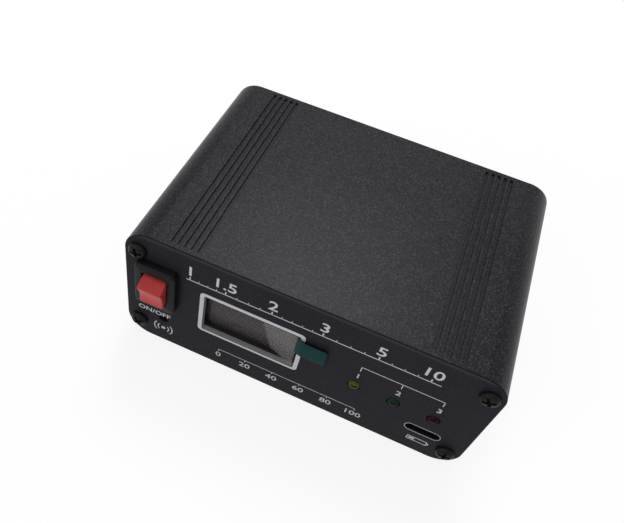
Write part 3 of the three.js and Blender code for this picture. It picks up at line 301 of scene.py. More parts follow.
class Finish:
    """A material on one Principled shader, whose plain numbers are set at once and whose varied
    ones are fed from nodes."""

    def __init__(self, name, colour, roughness, metallic=0.0, **plain):
        self.material = bpy.data.materials.new(name)
        self.material.use_nodes = True
        self.tree = self.material.node_tree
        self.shader = next(n for n in self.tree.nodes if n.type == "BSDF_PRINCIPLED")
        constants = {"Base Color": (*colour, 1), "Roughness": roughness, "Metallic": metallic}
        for label, value in {**constants, **plain}.items():
            self.shader.inputs[label.replace("_", " ")].default_value = value
        self.object_place = self.node("ShaderNodeTexCoord", output="Object")

    def node(self, kind, settings=None, inputs=None, output=0):
        return add_node(self.tree, kind, settings, inputs, output)

    def place(self, stretch=(1, 1, 1), shift=(0, 0, 0)):
        """Object coordinates in metres, stretched and shifted."""
        return self.node("ShaderNodeMapping", inputs={
            "Vector": self.object_place, "Scale": stretch, "Location": shift})

    def part(self, axis):
        """One coordinate of the object in millimetres."""
        apart = self.node("ShaderNodeSeparateXYZ", inputs={0: self.object_place},
                          output="XYZ".index(axis))
        return apart * 1000.0

    def noise(self, per_mm, detail=3.0, roughness=0.55, stretch=(1, 1, 1)):
        """Cloudy noise with about per_mm patches in a millimetre."""
        return self.node("ShaderNodeTexNoise", inputs={
            "Vector": self.place(stretch), "Scale": per_mm * 1000.0, "Detail": detail,
            "Roughness": roughness})

    def cells(self, per_mm, stretch=(1, 1, 1)):
        """Distance to the nearest of scattered points, per_mm of them in a millimetre."""
        return self.node("ShaderNodeTexVoronoi", inputs={
            "Vector": self.place(stretch), "Scale": per_mm * 1000.0})

    def step(self, value, low, high, start=0.0, end=1.0):
        """Goes smoothly from start to end while the value goes from low to high."""
        return self.node("ShaderNodeMapRange", {"interpolation_type": "SMOOTHSTEP"}, {
            "Value": value, "From Min": low, "From Max": high, "To Min": start, "To Max": end})

    def mix(self, first, second, share):
        """Mixes two colours."""
        colours = [v if isinstance(v, Value) else (*v, 1) for v in (first, second)]
        return self.node("ShaderNodeMix", {"data_type": "RGBA"}, {
            0: share, 6: colours[0], 7: colours[1]}, 2)

    def bump(self, height, depth_mm, strength=1.0):
        """Feeds a height into the shader's normal."""
        normal = self.node("ShaderNodeBump", inputs={
            "Height": height, "Distance": depth_mm * MM, "Strength": strength})
        self.feed("Normal", normal)

    def feed(self, label, value):
        self.tree.links.new(value.socket, self.shader.inputs[label])


def anodised_case():
    """Bead-blasted black anodising: small paler specks all over, in a grain of about three to a
    millimetre, and faint clouds."""
    f = Finish("black_aluminium", (0.015, 0.0140, 0.0175), 0.36, Specular_IOR_Level=0.09)
    grain = f.noise(2.8, 3.0, 0.8)
    cloud = f.noise(0.05, 3.0)
    draw = f.noise(1.4, 2.0, stretch=(1, 0.03, 1))
    specks = f.step(grain, 0.5, 0.64)
    colour = f.mix((0.0032, 0.0028, 0.0048), (0.0062, 0.0054, 0.0084), f.step(cloud, 0.3, 0.7))
    f.feed("Base Color", f.mix(colour, (0.062, 0.057, 0.070), specks * 0.75))
    f.feed("Roughness", 0.27 + grain * 0.08 + draw * 0.04)
    f.bump(grain + draw * 0.15, 0.035, 0.6)
    return f.material


def black_plate():
    """Painted front and rear plates: a finer, lower grain than the case's, darker, and with a
    painted highlight, a paler strip along the top, which is there to match the photo."""
    f = Finish("black_plate", (0.013, 0.0125, 0.016), 0.42, Specular_IOR_Level=0.035)
    grain = f.noise(3.2, 2.0, 0.75)
    cloud = f.noise(0.07, 3.0)
    colour = f.mix((0.0115, 0.0108, 0.0145), (0.0175, 0.0166, 0.0215), cloud)
    # painted highlight: a paler band along the plate's top edge
    colour = f.mix(colour, (0.03, 0.029, 0.034), f.step(f.part("Z"), 36.7, 37.2))
    f.feed("Base Color", f.mix(colour, (0.056, 0.053, 0.064), f.step(grain, 0.54, 0.68) * 0.4))
    f.feed("Roughness", 0.36 + grain * 0.14)
    f.bump(grain, 0.012, 0.5)
    return f.material


def cut_edge():
    """The plate's milled window walls, grey metal under thin paint. Their rear part is dark with
    painted shade, so that the grey strip is as wide as in the photo."""
    f = Finish("cut_edge", (0.3, 0.3, 0.3), 0.45, 0.25)
    lines = f.noise(6.0, 2.0, stretch=(0.2, 3.0, 0.2))
    metal_grey = f.mix((0.13, 0.13, 0.14), (0.29, 0.29, 0.295), lines)
    # painted shade: the walls go dark toward their rear
    f.feed("Base Color", f.mix(metal_grey, (0.01, 0.01, 0.012), f.step(f.part("Y"), -30.5, -30.3)))
    f.feed("Roughness", 0.38 + lines * 0.25)
    f.bump(lines, 0.01, 0.5)
    return f.material


def white_ink():
    """Screen-printed ink, faintly uneven, that thins to grey in small pores."""
    f = Finish("white_ink", (0.5, 0.5, 0.51), 0.6, Specular_IOR_Level=0.3)
    pores = f.noise(6.0, 2.0)
    f.feed("Base Color", f.mix((0.36, 0.365, 0.38), (0.54, 0.545, 0.565), f.step(pores, 0.3, 0.55)))
    f.feed("Roughness", 0.5 + pores * 0.15)
    f.bump(pores, 0.006, 0.4)
    return f.material


def black_screw():
    """Blackened steel, rubbed to bare metal in small patches."""
    f = Finish("black_screw", (0.006, 0.006, 0.007), 0.35, 0.1, Specular_IOR_Level=0.12)
    rub = f.step(f.noise(1.6, 4.0), 0.62, 0.75)
    fine = f.noise(8.0, 2.0)
    f.feed("Base Color", f.mix((0.0045, 0.0045, 0.0055), (0.04, 0.04, 0.044), rub))
    f.feed("Roughness", 0.3 + fine * 0.2)
    f.feed("Metallic", rub * 0.5)
    f.bump(fine, 0.01, 0.4)
    return f.material


def moulded(name, colour, lighter, roughness, grain_mm=0.01, shine=0.4, per_mm=6.0):
    """Moulded plastic: a faint clouding of its colour under a fine moulded texture."""
    f = Finish(name, colour, roughness, Specular_IOR_Level=shine)
    fine = f.noise(per_mm, 2.0)
    cloud = f.noise(0.35, 3.0)
    f.feed("Base Color", f.mix(colour, lighter, f.step(cloud, 0.3, 0.75) * 0.7 + fine * 0.2))
    f.feed("Roughness", roughness - 0.05 + fine * 0.14)
    f.bump(fine, grain_mm, 0.5)
    return f.material


def metal(name, colour, darker, roughness, stretch=(1, 1, 1), per_mm=3.0):
    """Drawn or plated metal: fine lines along the stretch and slight tarnish in clouds."""
    f = Finish(name, colour, roughness, 1.0)
    lines = f.noise(per_mm, 3.0, stretch=stretch)
    tarnish = f.step(f.noise(0.25, 4.0), 0.45, 0.8)
    f.feed("Base Color", f.mix(colour, darker, tarnish * 0.7 + lines * 0.15))
    f.feed("Roughness", roughness + lines * 0.12 + tarnish * 0.15)
    f.bump(lines, 0.006, 0.5)
    return f.material


def dark_glass():
    """Dark display glass: the brownish panel behind it shows a slightly paler active area."""
    f = Finish("display_glass", (0.04, 0.034, 0.036), 0.08, Specular_IOR_Level=0.1)
    x, z = f.part("X"), f.part("Z")
    inside = (f.step(x, -22.6, -22.4) * (1 - f.step(x, -0.9, -0.7))
              * f.step(z, 13.9, 14.1) * (1 - f.step(z, 24.4, 24.6)))
    haze = f.noise(0.12, 3.0)
    glass = f.mix((0.0175, 0.0143, 0.0155), (0.027, 0.0225, 0.0245), haze)
    f.feed("Base Color", f.mix(glass, (0.042, 0.035, 0.0375), inside * 0.8))
    f.feed("Roughness", 0.1 + haze * 0.1)
    return f.material


def clear_film():
    """Clear protective film: almost unseen where it lies on the glass, and paler and dusty where it
    stands off it, past the slanting fold, the paleness being partly painted reflection. The fold
    itself is a thin line of painted shade."""
    f = Finish("clear_film", (0.7, 0.68, 0.68), 0.3, Specular_IOR_Level=0.15)
    past_fold = f.part("X") + 6.3 + (f.part("Z") - 13.6) * 0.37 + (f.noise(0.8, 3.0) - 0.5) * 0.9
    lifted = f.step(past_fold, -0.05, 0.05)
    fold_shade = f.step(past_fold, -0.3, -0.1) * (1 - lifted)
    dust_and_sheen = f.noise(3.0, 3.0)
    # painted shade: a thin dark line along the fold
    f.feed("Base Color", f.mix((0.72, 0.69, 0.69), (0.01, 0.01, 0.01), fold_shade))
    # Where lifted, the film is paler: dusty specks and a painted reflection
    f.feed("Alpha", 0.01 + lifted * (0.035 + dust_and_sheen * 0.07) + fold_shade * 0.45)
    f.feed("Roughness", 0.22 + dust_and_sheen * 0.16)
    f.bump(dust_and_sheen + f.noise(0.5, 2.0), 0.03, 0.5)
    return f.material


def teal_film():
    """Dark teal pull tab of thin coloured film."""
    f = Finish("teal_film", (0.008, 0.032, 0.034), 0.4, Specular_IOR_Level=0.04)
    cloud = f.noise(0.4, 3.0)
    creases = f.noise(1.5, 2.0, stretch=(1, 1, 0.15))
    f.feed("Base Color", f.mix((0.0028, 0.025, 0.027), (0.0072, 0.044, 0.045), cloud))
    f.feed("Roughness", 0.34 + creases * 0.16)
    f.bump(creases, 0.03, 0.5)
    return f.material


def foam():
    """Black foam rubber: small open cells."""
    f = Finish("foam", (0.01, 0.01, 0.011), 0.9)
    pores = f.cells(3.5)
    skin = f.step(pores, 0.1, 0.6)
    f.feed("Base Color", f.mix((0.004, 0.004, 0.004), (0.018, 0.018, 0.019), skin))
    f.feed("Roughness", 0.85 + pores * 0.1)
    f.bump(pores, 0.12, 0.8)
    return f.material


def circuit_board(name, lacquer, copper):
    """Lacquered board: lanes of copper under the lacquer, in bands that change from cell to
    cell, and small tinned dots."""
    f = Finish(name, lacquer, 0.35, Coat_Weight=0.3, Coat_Roughness=0.2)
    across, along = (
        f.node("ShaderNodeTexWave", {"wave_type": "BANDS", "bands_direction": direction}, {
            "Vector": f.place(), "Scale": 260.0, "Distortion": 0.0}) for direction in "XY")
    patch = f.step(f.noise(0.16, 1.0), 0.49, 0.51)
    lanes = f.step(across * patch + along * (1 - patch), 0.55, 0.68)
    present = f.step(f.noise(0.11, 1.0, stretch=(1, 1.3, 1)), 0.44, 0.46)
    tracks = lanes * present
    dots = 1 - f.step(f.cells(0.28), 0.1, 0.12)
    colour = f.mix(lacquer, copper, tracks)
    f.feed("Base Color", f.mix(colour, (0.5, 0.48, 0.42), dots))
    f.feed("Metallic", dots * 0.9)
    f.feed("Roughness", 0.4 - tracks * 0.08 - dots * 0.1)
    f.bump(tracks + dots, 0.03, 0.6)
    return f.material


def lamp(name, colour, deep, x):
    """Tinted lamp body, deeper in colour towards its base, with the dark seat of its chip seen
    as a short level slit in the middle."""
    f = Finish(name, colour, 0.3, Specular_IOR_Level=0.03)
    depth = f.step(f.part("Y"), -31.9, -29.8)
    cloud = f.noise(1.0, 2.0)
    slit = ((1 - f.step(((f.part("Z") - LAMP_Z - 0.4) ** 2.0) ** 0.5, 0.2, 0.4))
            * (1 - f.step(((f.part("X") - x - 0.1) ** 2.0) ** 0.5, 0.6, 0.85)))
    tint = f.mix(colour, deep, depth * 0.7 + cloud * 0.2)
    f.feed("Base Color", f.mix(tint, (0.004, 0.004, 0.0035), slit * 0.9))
    f.feed("Roughness", 0.22 + cloud * 0.12)
    f.bump(cloud, 0.01, 0.3)
    return f.material


def ferrite():
    """Grey sintered ferrite with dull pits."""
    f = Finish("ferrite", (0.06, 0.06, 0.065), 0.65)
    pits = f.cells(2.5)
    face = f.step(pits, 0.05, 0.4)
    f.feed("Base Color", f.mix((0.035, 0.035, 0.038), (0.085, 0.086, 0.092), face))
    f.feed("Roughness", 0.55 + pits * 0.2)
    f.bump(pits, 0.03, 0.5)
    return f.material


def battery_foil():
    """Silver pouch foil, faintly crinkled, with a yellow tape over its front flap."""
    f = Finish("battery_foil", (0.5, 0.5, 0.52), 0.35, 0.85)
    crinkle = f.noise(0.6, 4.0)
    tape = 1 - f.step(f.part("Y"), -13.2, -13.0)
    silver = f.mix((0.45, 0.45, 0.47), (0.6, 0.6, 0.62), crinkle)
    f.feed("Base Color", f.mix(silver, (0.55, 0.3, 0.04), tape))
    f.feed("Metallic", 0.85 - tape * 0.75)
    f.feed("Roughness", 0.28 + crinkle * 0.2)
    f.bump(crinkle, 0.06, 0.5)
    return f.material


def ground():
    """Pale floor that takes the object's shadow. To the camera, in reflections and through clear
    film, a share of plain white is mixed in."""
    f = Finish("ground", (0.8, 0.8, 0.8), 0.9, Specular_IOR_Level=0.0)
    f.feed("Base Color", f.mix((0.94, 0.94, 0.94), (0.97, 0.97, 0.97), f.noise(0.004, 2.0)))
    seen, glossy, through = (f.node("ShaderNodeLightPath", output=f"Is {kind} Ray")
                             for kind in ("Camera", "Glossy", "Transmission"))
    white = f.node("ShaderNodeEmission", inputs={"Strength": 1.0})
    both = f.node("ShaderNodeMixShader", inputs={
        0: (seen + glossy + through) * 0.85, 1: Value(f.tree, f.shader.outputs[0]), 2: white})
    sink = next(n for n in f.tree.nodes if n.type == "OUTPUT_MATERIAL")
    f.tree.links.new(both.socket, sink.inputs[0])
    return f.material


CASE = anodised_case()
PLATE = black_plate()
EDGE = cut_edge()
INK = white_ink()
SCREW = black_screw()
# Near-black: painted shade in the screws' cross recesses and on the plates' broken edges, and the
# charging tongue's black plastic with painted shade
BLACK_AND_SHADE = moulded("black_and_painted_shade", (0.002, 0.002, 0.0025), (0.005, 0.005, 0.006), 0.6, shine=0.1)
PLASTIC = moulded("black_plastic", (0.0045, 0.0045, 0.0055), (0.010, 0.010, 0.0115), 0.4, shine=0.1)
RED = moulded("red_plastic", (0.40, 0.03, 0.03), (0.46, 0.045, 0.042), 0.38, 0.006, 0.22)
STEEL = metal("spring_steel", (0.55, 0.55, 0.56), (0.3, 0.3, 0.3), 0.22)
BRASS = metal("brass", (0.62, 0.42, 0.15), (0.36, 0.22, 0.08), 0.22)
DULL_STEEL = metal("dull_steel", (0.30, 0.30, 0.31), (0.18, 0.18, 0.19), 0.4)
# Painted shade: near-black steel for the inside of the charging socket's shell
PAINTED_SHADE_STEEL = metal("steel_painted_shade", (0.014, 0.014, 0.017), (0.007, 0.007, 0.008), 0.5)
# Painted shade: brass darkened for the contacts deep in the charging socket
PAINTED_SHADE_BRASS = metal("brass_painted_shade", (0.10, 0.07, 0.035), (0.05, 0.035, 0.02), 0.45)
NICKEL = metal("nickel", (0.66, 0.65, 0.61), (0.4, 0.39, 0.36), 0.18, (1, 0.2, 1))
GLASS = dark_glass()
FILM = clear_film()
TEAL = teal_film()
FOAM = foam()
BLUE_BOARD = circuit_board("blue_board", (0.008, 0.03, 0.14), (0.02, 0.08, 0.26))
GREEN_BOARD = circuit_board("green_board", (0.008, 0.075, 0.024), (0.025, 0.16, 0.05))
YELLOW_LAMP = lamp("yellow_lamp", (0.085, 0.09, 0.02), (0.03, 0.03, 0.008), LAMPS[0])
GREEN_LAMP = lamp("green_lamp", (0.008, 0.034, 0.018), (0.004, 0.012, 0.007), LAMPS[1])
RED_LAMP = lamp("red_lamp", (0.028, 0.0055, 0.009), (0.011, 0.003, 0.0045), LAMPS[2])
WHITE_PLASTIC = moulded("white_plastic", (0.70, 0.68, 0.62), (0.78, 0.76, 0.70), 0.42)
FERRITE = ferrite()
COPPER = metal("enamelled_copper", (0.55, 0.16, 0.05), (0.3, 0.08, 0.025), 0.22)
TINNED = metal("tinned_copper", (0.6, 0.57, 0.5), (0.4, 0.37, 0.32), 0.24)
FOIL = battery_foil()
RED_LEAD = moulded("red_lead", (0.42, 0.012, 0.012), (0.52, 0.02, 0.02), 0.45)
BLACK_LEAD = moulded("black_lead", (0.007, 0.007, 0.007), (0.013, 0.013, 0.013), 0.45)
GREY_LEAD = moulded("grey_lead", (0.17, 0.17, 0.18), (0.23, 0.23, 0.24), 0.45)
GROUND = ground()


# --- Case: two extruded halves and two plates ------------------------------------------------

def arc(x, z, radius, start, end, steps):
    """Points of an arc, from one angle to another in degrees."""
    turn = np.radians(np.linspace(start, end, steps))
    return np.stack([x + radius * np.cos(turn), z + radius * np.sin(turn)], 1)


def groove(x):
    """One lengthwise groove of the top, from right to left, with its lips just broken."""
    half, lip, deep = 0.375, 0.09, 0.5
    top = CASE_HEIGHT
    return np.array([
        [x + half + lip, top], [x + half, top - lip], [x + half, top - deep],
        [x - half, top - deep], [x - half, top - lip], [x - half - lip, top]])


def upper_half_section(tongue):
    """Right side of a half shell's section, from the joint outside round the corner to the
    middle of the top, and back inside by the screw channel and the board ribs. With tongue
    the joint carries a tongue inside, otherwise the rebate that takes it."""
    wall, channel, bore, half_slit = 1.5, 2.2, 1.4, 0.35
    corner = (CASE_WIDTH / 2 - CORNER, CASE_HEIGHT - CORNER)
    screw = SCREWS[2]
    slit = math.degrees(math.asin(half_slit / channel))
    slit_bore = math.degrees(math.asin(half_slit / bore))
    joint = [[43.2, 19.0], [43.85, 19.0], [44.0, 19.15]]
    tongue_foot = [[42.5, 18.0], [43.1, 18.0], [43.2, 18.1], *joint]
    rebate_foot = [[43.3, 20.1], [43.3, 19.0], *joint[1:]]
    start = tongue_foot if tongue else rebate_foot
    outside = [np.array(start), arc(*corner, CORNER, 0, 90, 30)]
    outside += [groove(32.8 - 1.6 * i) for i in range(5)]
    middle = np.array([[0.0, CASE_HEIGHT], [0.0, CASE_HEIGHT - wall]])
    inside = [
        arc(*corner, CORNER - wall, 90, 35.9, 16),
        arc(*screw, channel, 61.5, 225 - slit, 24),
        arc(*screw, bore, 225 - slit_bore, 225 + slit_bore - 360, 36),
        arc(*screw, channel, 225 + slit, 335.3, 20),
        np.array([[42.5, 28.17], [40.9, 28.17], [40.9, 27.07], [42.5, 27.07],
                  [42.5, 25.17], [40.9, 25.17], [40.9, 24.07], [42.5, 24.07]]),
    ]
    end = [] if tongue else [np.array([[42.5, 20.1]])]
    return np.concatenate(outside), middle, np.concatenate(inside + end)


def half_shell(tongue):
    """A half shell: its section from the right joint over the middle to the left joint outside,
    and back inside, carried along Y."""
    outside, middle, inside = upper_half_section(tongue)
    mirror = np.array([-1.0, 1.0])
    outline = np.concatenate([
        outside, middle[:1], (outside * mirror)[::-1], (inside * mirror)[::-1], middle[1:], inside])
    if tongue:
        outline[:, 1] = CASE_HEIGHT - outline[:, 1]
    return loft([at_depth(outline, SHELL_FRONT), at_depth(outline, SHELL_BACK)])


piece("case_top", "case", CASE, "black_aluminium", [half_shell(False)], ["upper_shell"])
piece("case_bottom", "case", CASE, "black_aluminium", [half_shell(True)], ["lower_shell"])


def grown(x, z, width, height, radius, steps=8):
    """A round-cornered outline as a function of its growth."""
    return lambda by: rounded(x, z, width + 2 * by, height + 2 * by, radius + by, steps)


def grown_circle(x, z, radius, steps=48):
    return lambda by: circle(x, z, radius + by, steps)


CASE_OUTLINE = grown(0, MIDDLE_Z, CASE_WIDTH, CASE_HEIGHT, CORNER, 30)
SCREW_HOLES = [grown_circle(x, z, 1.5, 32) for x, z in SCREWS]


def on_window_wall(middles, normals):
    """The faces of the window's four walls."""
    x, z, width, height = WINDOW
    beside = np.abs(middles[:, 0] - x) < width / 2 + 0.2
    level = np.abs(middles[:, 2] - z) < height / 2 + 0.2
    return beside & level & (np.abs(normals[:, 1]) < 0.9)


front_holes = [
    grown(*WINDOW, 0.4),
    grown(SWITCH_X, SWITCH_Z, 8.6, 13.4, 0.15, 3),
    grown(USB_X, USB_Z, 9.18, 3.5, 1.74, 16),
    grown_circle(SOUND_X, SOUND_Z, 1.35),
    *[grown_circle(x, LAMP_Z, 1.56) for x in LAMPS],
    *SCREW_HOLES,
]


def chamfered_plate(holes, front, back):
    """A case plate: on its outer face its edge is broken by 0.2 mm and the holes by 0.06 mm."""
    edge, hole_edge = 0.2, 0.06
    inward = math.copysign(edge, back - front)

    def outer(by):
        return CASE_OUTLINE(by * edge / hole_edge)

    return plate(outer, holes, [(front, hole_edge), (front + inward, 0.0), (back, 0.0)])


def at_outline(middles):
    """The places within 0.3 mm of the plates' outline."""
    beside = np.maximum(np.abs(middles[:, 0]) - CASE_WIDTH / 2 + CORNER, 0)
    level = np.maximum(np.abs(middles[:, 2] - MIDDLE_Z) - CASE_HEIGHT / 2 + CORNER, 0)
    return np.hypot(beside, level) > CORNER - 0.3


def on_rim(middles, normals):
    """The faces round the edge of a plate."""
    return at_outline(middles) & (np.abs(normals[:, 1]) < 0.3)


def on_broken_edge(middles, normals):
    """The slanting faces of a plate's broken edge, which take painted shade as a dark line round
    the plate.
    """
    slant = np.abs(normals[:, 1])
    return at_outline(middles) & (slant >= 0.3) & (slant < 0.9)


# The plates' broken edges take painted shade, a dark line round each plate.
piece("front_plate", "case", PLATE, "black_plate",
      [chamfered_plate(front_holes, FACE, SHELL_FRONT)], ["front_panel"], 25,
      [(EDGE, on_window_wall), (CASE, on_rim), (BLACK_AND_SHADE, on_broken_edge)])
rear_holes = [grown_circle(x, LINE_Z, 8.05, 64) for _, x in SOCKETS] + SCREW_HOLES
piece("rear_plate", "case", PLATE, "black_plate",
      [chamfered_plate(rear_holes, REAR, SHELL_BACK)], ["rear_panel"], 25,
      [(CASE, on_rim), (BLACK_AND_SHADE, on_broken_edge)])


# --- Screws ---------------------------------------------------------------------------------

def cross_reach(turn, long, short):
    """How far a cross reaches at each turn: the further of its two bars, each of which ends at
    its end or at its side, whichever comes first."""
    across = np.maximum(np.abs(np.cos(turn)), 1e-6)
    up = np.maximum(np.abs(np.sin(turn)), 1e-6)
    flat = np.minimum(long / across, short / up)
    upright = np.minimum(short / across, long / up)
    return np.maximum(flat, upright)


def screw_surface(turn_share):
    """A pan-head screw seated at the origin with its head to -Y. Its rows run from the middle of
    the cross recess out over the crowned head, down its side, and along a helical thread whose
    radius rises and falls with the depth less the turn."""
    long, short = 1.45, 0.36
    corner = math.atan2(short, long)
    key = [0, corner, math.pi / 4, math.pi / 2 - corner]
    turn = np.concatenate([
        np.linspace(a, b, 5, endpoint=False) + quarter * math.pi / 2
        for quarter in range(4) for a, b in zip(key, key[1:] + [math.pi / 2])])
    reach = cross_reach(turn, long, short)
    head_radius, root_radius, pitch = 2.25, 0.98, 0.7

    def crown(radius):
        return -1.5 * (1 - (radius / 2.26) ** 3.0) ** 0.36

    rows = [(0, -0.62), (reach * 0.5, -0.62), (reach * 0.84, -0.8), (reach, crown(reach))]
    for share in (0, 0.2, 0.4, 0.6, 0.75, 0.86, 0.93, 0.97, 1.0):
        radius = (reach + 0.05) * (1 - share) + head_radius * share
        rows.append((radius, crown(radius)))
    rows += [(head_radius, 0), (1.3, 0)]
    for y in np.linspace(0.1, 7.2, 90):
        wave = (y / pitch - turn / (2 * math.pi)) % 1.0
        rows.append((root_radius + 0.27 * (1 - np.abs(2 * wave - 1)), y))
    rows += [(0.6, 7.95), (0, 8.0)]
    return loft(turned_rows(rows, turn + turn_share * math.pi), (False, False))


def in_recess(middles, normals):
    """The walls and the floor of the screws' cross recesses, which take painted shade."""
    reach = np.min([np.hypot(middles[:, 0] - x, middles[:, 2] - z) for x, z in SCREWS], 0)
    depth = np.abs(middles[:, 1]) - REAR
    return (reach < 1.47) & (depth > 0.3) & (depth < 1.25)


for number, (x, z) in enumerate(SCREWS, 1):
    for end, depth, flip, share in (("front", FACE, 1, SCREW_TURNS[number - 1]),
                                    ("rear", REAR, -1, SCREW_TURNS[4 - number])):
        # The cross recesses take painted shade.
        points, faces = screw_surface(share)
        piece(f"{end}_plate_screw_{number}", "case", SCREW, "black_screw",
              [(points * (flip, flip, 1) + (x, depth, z), faces)], [f"{end}_screw_{number}"], 40,
              [(BLACK_AND_SHADE, in_recess)])


# --- Rocker switch --------------------------------------------------------------------------

def switch_ring(width, height, radius, y):
    return at_depth(rounded(SWITCH_X, SWITCH_Z, width, height, radius, 8), y)


# Width, height, corner radius and depth of each ring
housing_rings = [switch_ring(*row) for row in (
    (8.4, 13.2, 0.4, -19.9), (8.4, 13.2, 0.4, -31.45), (8.4, 13.2, 0.4, -31.49),
    (9.8, 13.8, 1.0, -31.5), (9.9, 13.9, 1.0, -31.62), (10.4, 14.4, 1.2, -31.8),
    (10.4, 14.4, 1.2, -33.1), (10.26, 14.26, 1.15, -33.36), (9.96, 13.96, 1.0, -33.54),
    (9.7, 13.7, 0.9, -33.6), (6.8, 9.6, 0.5, -33.6), (6.5, 9.3, 0.4, -33.5),
    (6.4, 9.2, 0.35, -33.3), (6.4, 9.2, 0.35, -21.1))]
lugs = [block((SWITCH_X - 1.5, -29.9, SWITCH_Z + side * 6.85 - 0.25),
              (SWITCH_X + 1.5, -27.5, SWITCH_Z + side * 6.85 + 0.25), 0.1) for side in (-1, 1)]
piece("switch_body", "case", PLASTIC, "black_plastic", [loft(housing_rings), *lugs],
      ["switch_housing"], 30)


def rocker_outline():
    """The rocker's side view about its pivot, in height and depth. The face dips between two
    ridges by half a millimetre times one less the square of its height's share. Straight
    shoulders fall from the ridges, and a skirt and the plunger's tube lie behind."""
    ridge = math.radians(33)
    half, depth = 5.96 * math.sin(ridge), -5.96 * math.cos(ridge)
    share = np.linspace(-1, 1, 25)
    face = np.stack([share * half, depth + 0.5 * (1 - share**2)], 1)
    shoulder = np.array([[4.15, -1.84], [4.0, 1.2], [1.6, 1.2], [1.6, 4.8]])
    return np.concatenate([face, shoulder, shoulder[::-1] * (-1, 1)])


def rocker_surface():
    outline = rocker_outline()
    rings = [np.stack([np.full(len(outline), x), outline[:, 1], outline[:, 0]], 1)
             for x in (-3.0, 3.0)]
    points, faces = loft(rings)
    return turned_about_x(points, 12, 0, 0) + (SWITCH_X, PIVOT_Y, SWITCH_Z), faces


def along_x(radius, x0, x1, y, z, steps=32):
    """A round pin along X."""
    ring = circle(y, z, radius, steps)
    return loft([np.stack([np.full(steps, x), ring[:, 0], ring[:, 1]], 1) for x in (x0, x1)])


rocker = piece("rocker_key", "rocker", RED, "red_plastic",
               [rocker_surface(), along_x(0.9, SWITCH_X - 3.8, SWITCH_X + 3.8, PIVOT_Y, SWITCH_Z)],
               ["rocker"], 30)
round_edges(rocker, 0.28)

coil_turn = np.linspace(0, 8 * math.pi, 240)
coil = np.stack([
    0.62 * np.cos(coil_turn), np.linspace(0.38, 3.32, 240), 0.62 * np.sin(coil_turn)], 1)
coil = turned_about_x(coil, 12, 0, 0) + (SWITCH_X, PIVOT_Y, SWITCH_Z)
outward = turned_about_x(
    np.stack([np.cos(coil_turn), 0 * coil_turn, np.sin(coil_turn)], 1), 12, 0, 0)
piece("plunger_coil", "rocker", STEEL, "spring_steel", [tube(coil, 0.13, outward, 10)],
      ["plunger_spring"])


# --- Display --------------------------------------------------------------------------------

window_x, window_z = WINDOW[:2]
piece("foam_frame", "case", FOAM, "foam", [plate(
    grown(-11.6, 16.8, 26.7, 19.3, 0.8), [grown(window_x, window_z, 24.4, 13.2, 0.5)],
    [(-30.0, 0.1), (-29.9, 0.0), (-29.2, 0.0), (-29.1, 0.1)])], ["display_gasket"], 50)


def film_surface():
    """A thin closed sheet in front of the glass. It lies flat up to a slanting, slightly wavy
    fold. From there it rises 2.1 mm to the front of the window, nearly straight: the rise is a
    power of the share of the way from the fold to the end, plus a faint wave. Its ring at each
    share runs up the back and down the front."""
    z = np.linspace(12.97, 25.23, 40)
    fold = -6.3 - 0.37 * (z - 13.6) + 0.15 * np.sin(1.7 * z) + 0.08 * np.sin(4.1 * z + 1)
    flat = np.linspace(0, 1, 30, endpoint=False)[:, None]
    slope = np.linspace(0, 1, 50)[:, None]
    x = np.concatenate([-23.35 + flat * (fold + 23.35), fold + slope * (-0.16 - fold)])
    wave = 0.05 * np.sin(3 * slope + 0.6 * z) * slope * (1 - slope)
    rise = np.concatenate([0 * flat * z, slope**1.08 * 2.1 + wave])
    height = np.broadcast_to(z, x.shape)
    rear = np.stack([x, -29.12 - rise, height], -1)
    front = np.stack([x, -29.23 - rise, height], -1)[:, ::-1]
    return loft(np.concatenate([rear, front], 1))


piece("protective_film", "case", FILM, "clear_film", [film_surface()], ["screen_film"], 60)


def tab_surface():
    """The pull tab: a strip that follows a smooth line from the film's lifted end out over the
    plate, with rounded far corners and a faint lengthwise curl."""
    line = smooth_path([
        [-0.4, -31.55, 0], [0.0, -31.8, 0], [0.7, -32.2, 0],
        [2.2, -32.36, 0], [3.65, -32.4, 0], [7.05, -32.47, 0]], 14)[:, :2]
    along = np.gradient(line, axis=0)
    along /= np.linalg.norm(along, axis=1)[:, None]
    across = np.stack([-along[:, 1], along[:, 0]], 1)
    length = np.concatenate([[0], np.cumsum(np.linalg.norm(np.diff(line, axis=0), axis=1))])
    half_height, corner, middle_z = 2.7, 0.45, 22.45
    left = np.clip(length[-1] - length, 0, corner)
    half = half_height - corner + np.sqrt(np.maximum(corner**2 - (corner - left) ** 2, 0.0))
    share = np.linspace(-1, 1, 13)
    curl = 0.1 * share**2 * (length / length[-1])[:, None]
    z = middle_z + half[:, None] * share
    rings = []
    for offset, order in ((0.06, 1), (-0.06, -1)):
        x = line[:, :1] + across[:, :1] * (offset + curl)
        y = line[:, 1:] + across[:, 1:] * (offset + curl)
        rings.append(np.stack([x, y, z], -1)[:, ::order])
    return loft(np.concatenate(rings, 1))


piece("film_tab", "case", TEAL, "teal_film", [tab_surface()], ["pull_tab"], 50)


def ribbon_paths():
    """Four leads side by side from the pin header back and down to the board."""
    start, head = -20.6, 29.6
    line = np.array([
        [0, start, head], [0, start + 2, head], [0, start + 5.6, head - 2],
        [0, start + 8, head - 8], [0, start + 8, BOARD_TOP + 2.1], [0, start + 8, BOARD_TOP + 0.1]])
    return [smooth_path(line + (window_x + (i - 1.5) * 2.54, 0, 0), 10) for i in range(4)]


piece("display_leads", "case", GREY_LEAD, "grey_lead",
      [tube(path, 0.5, (1, 0, 0)) for path in ribbon_paths()], ["display_ribbon"])


# --- Lamps ----------------------------------------------------------------------------------

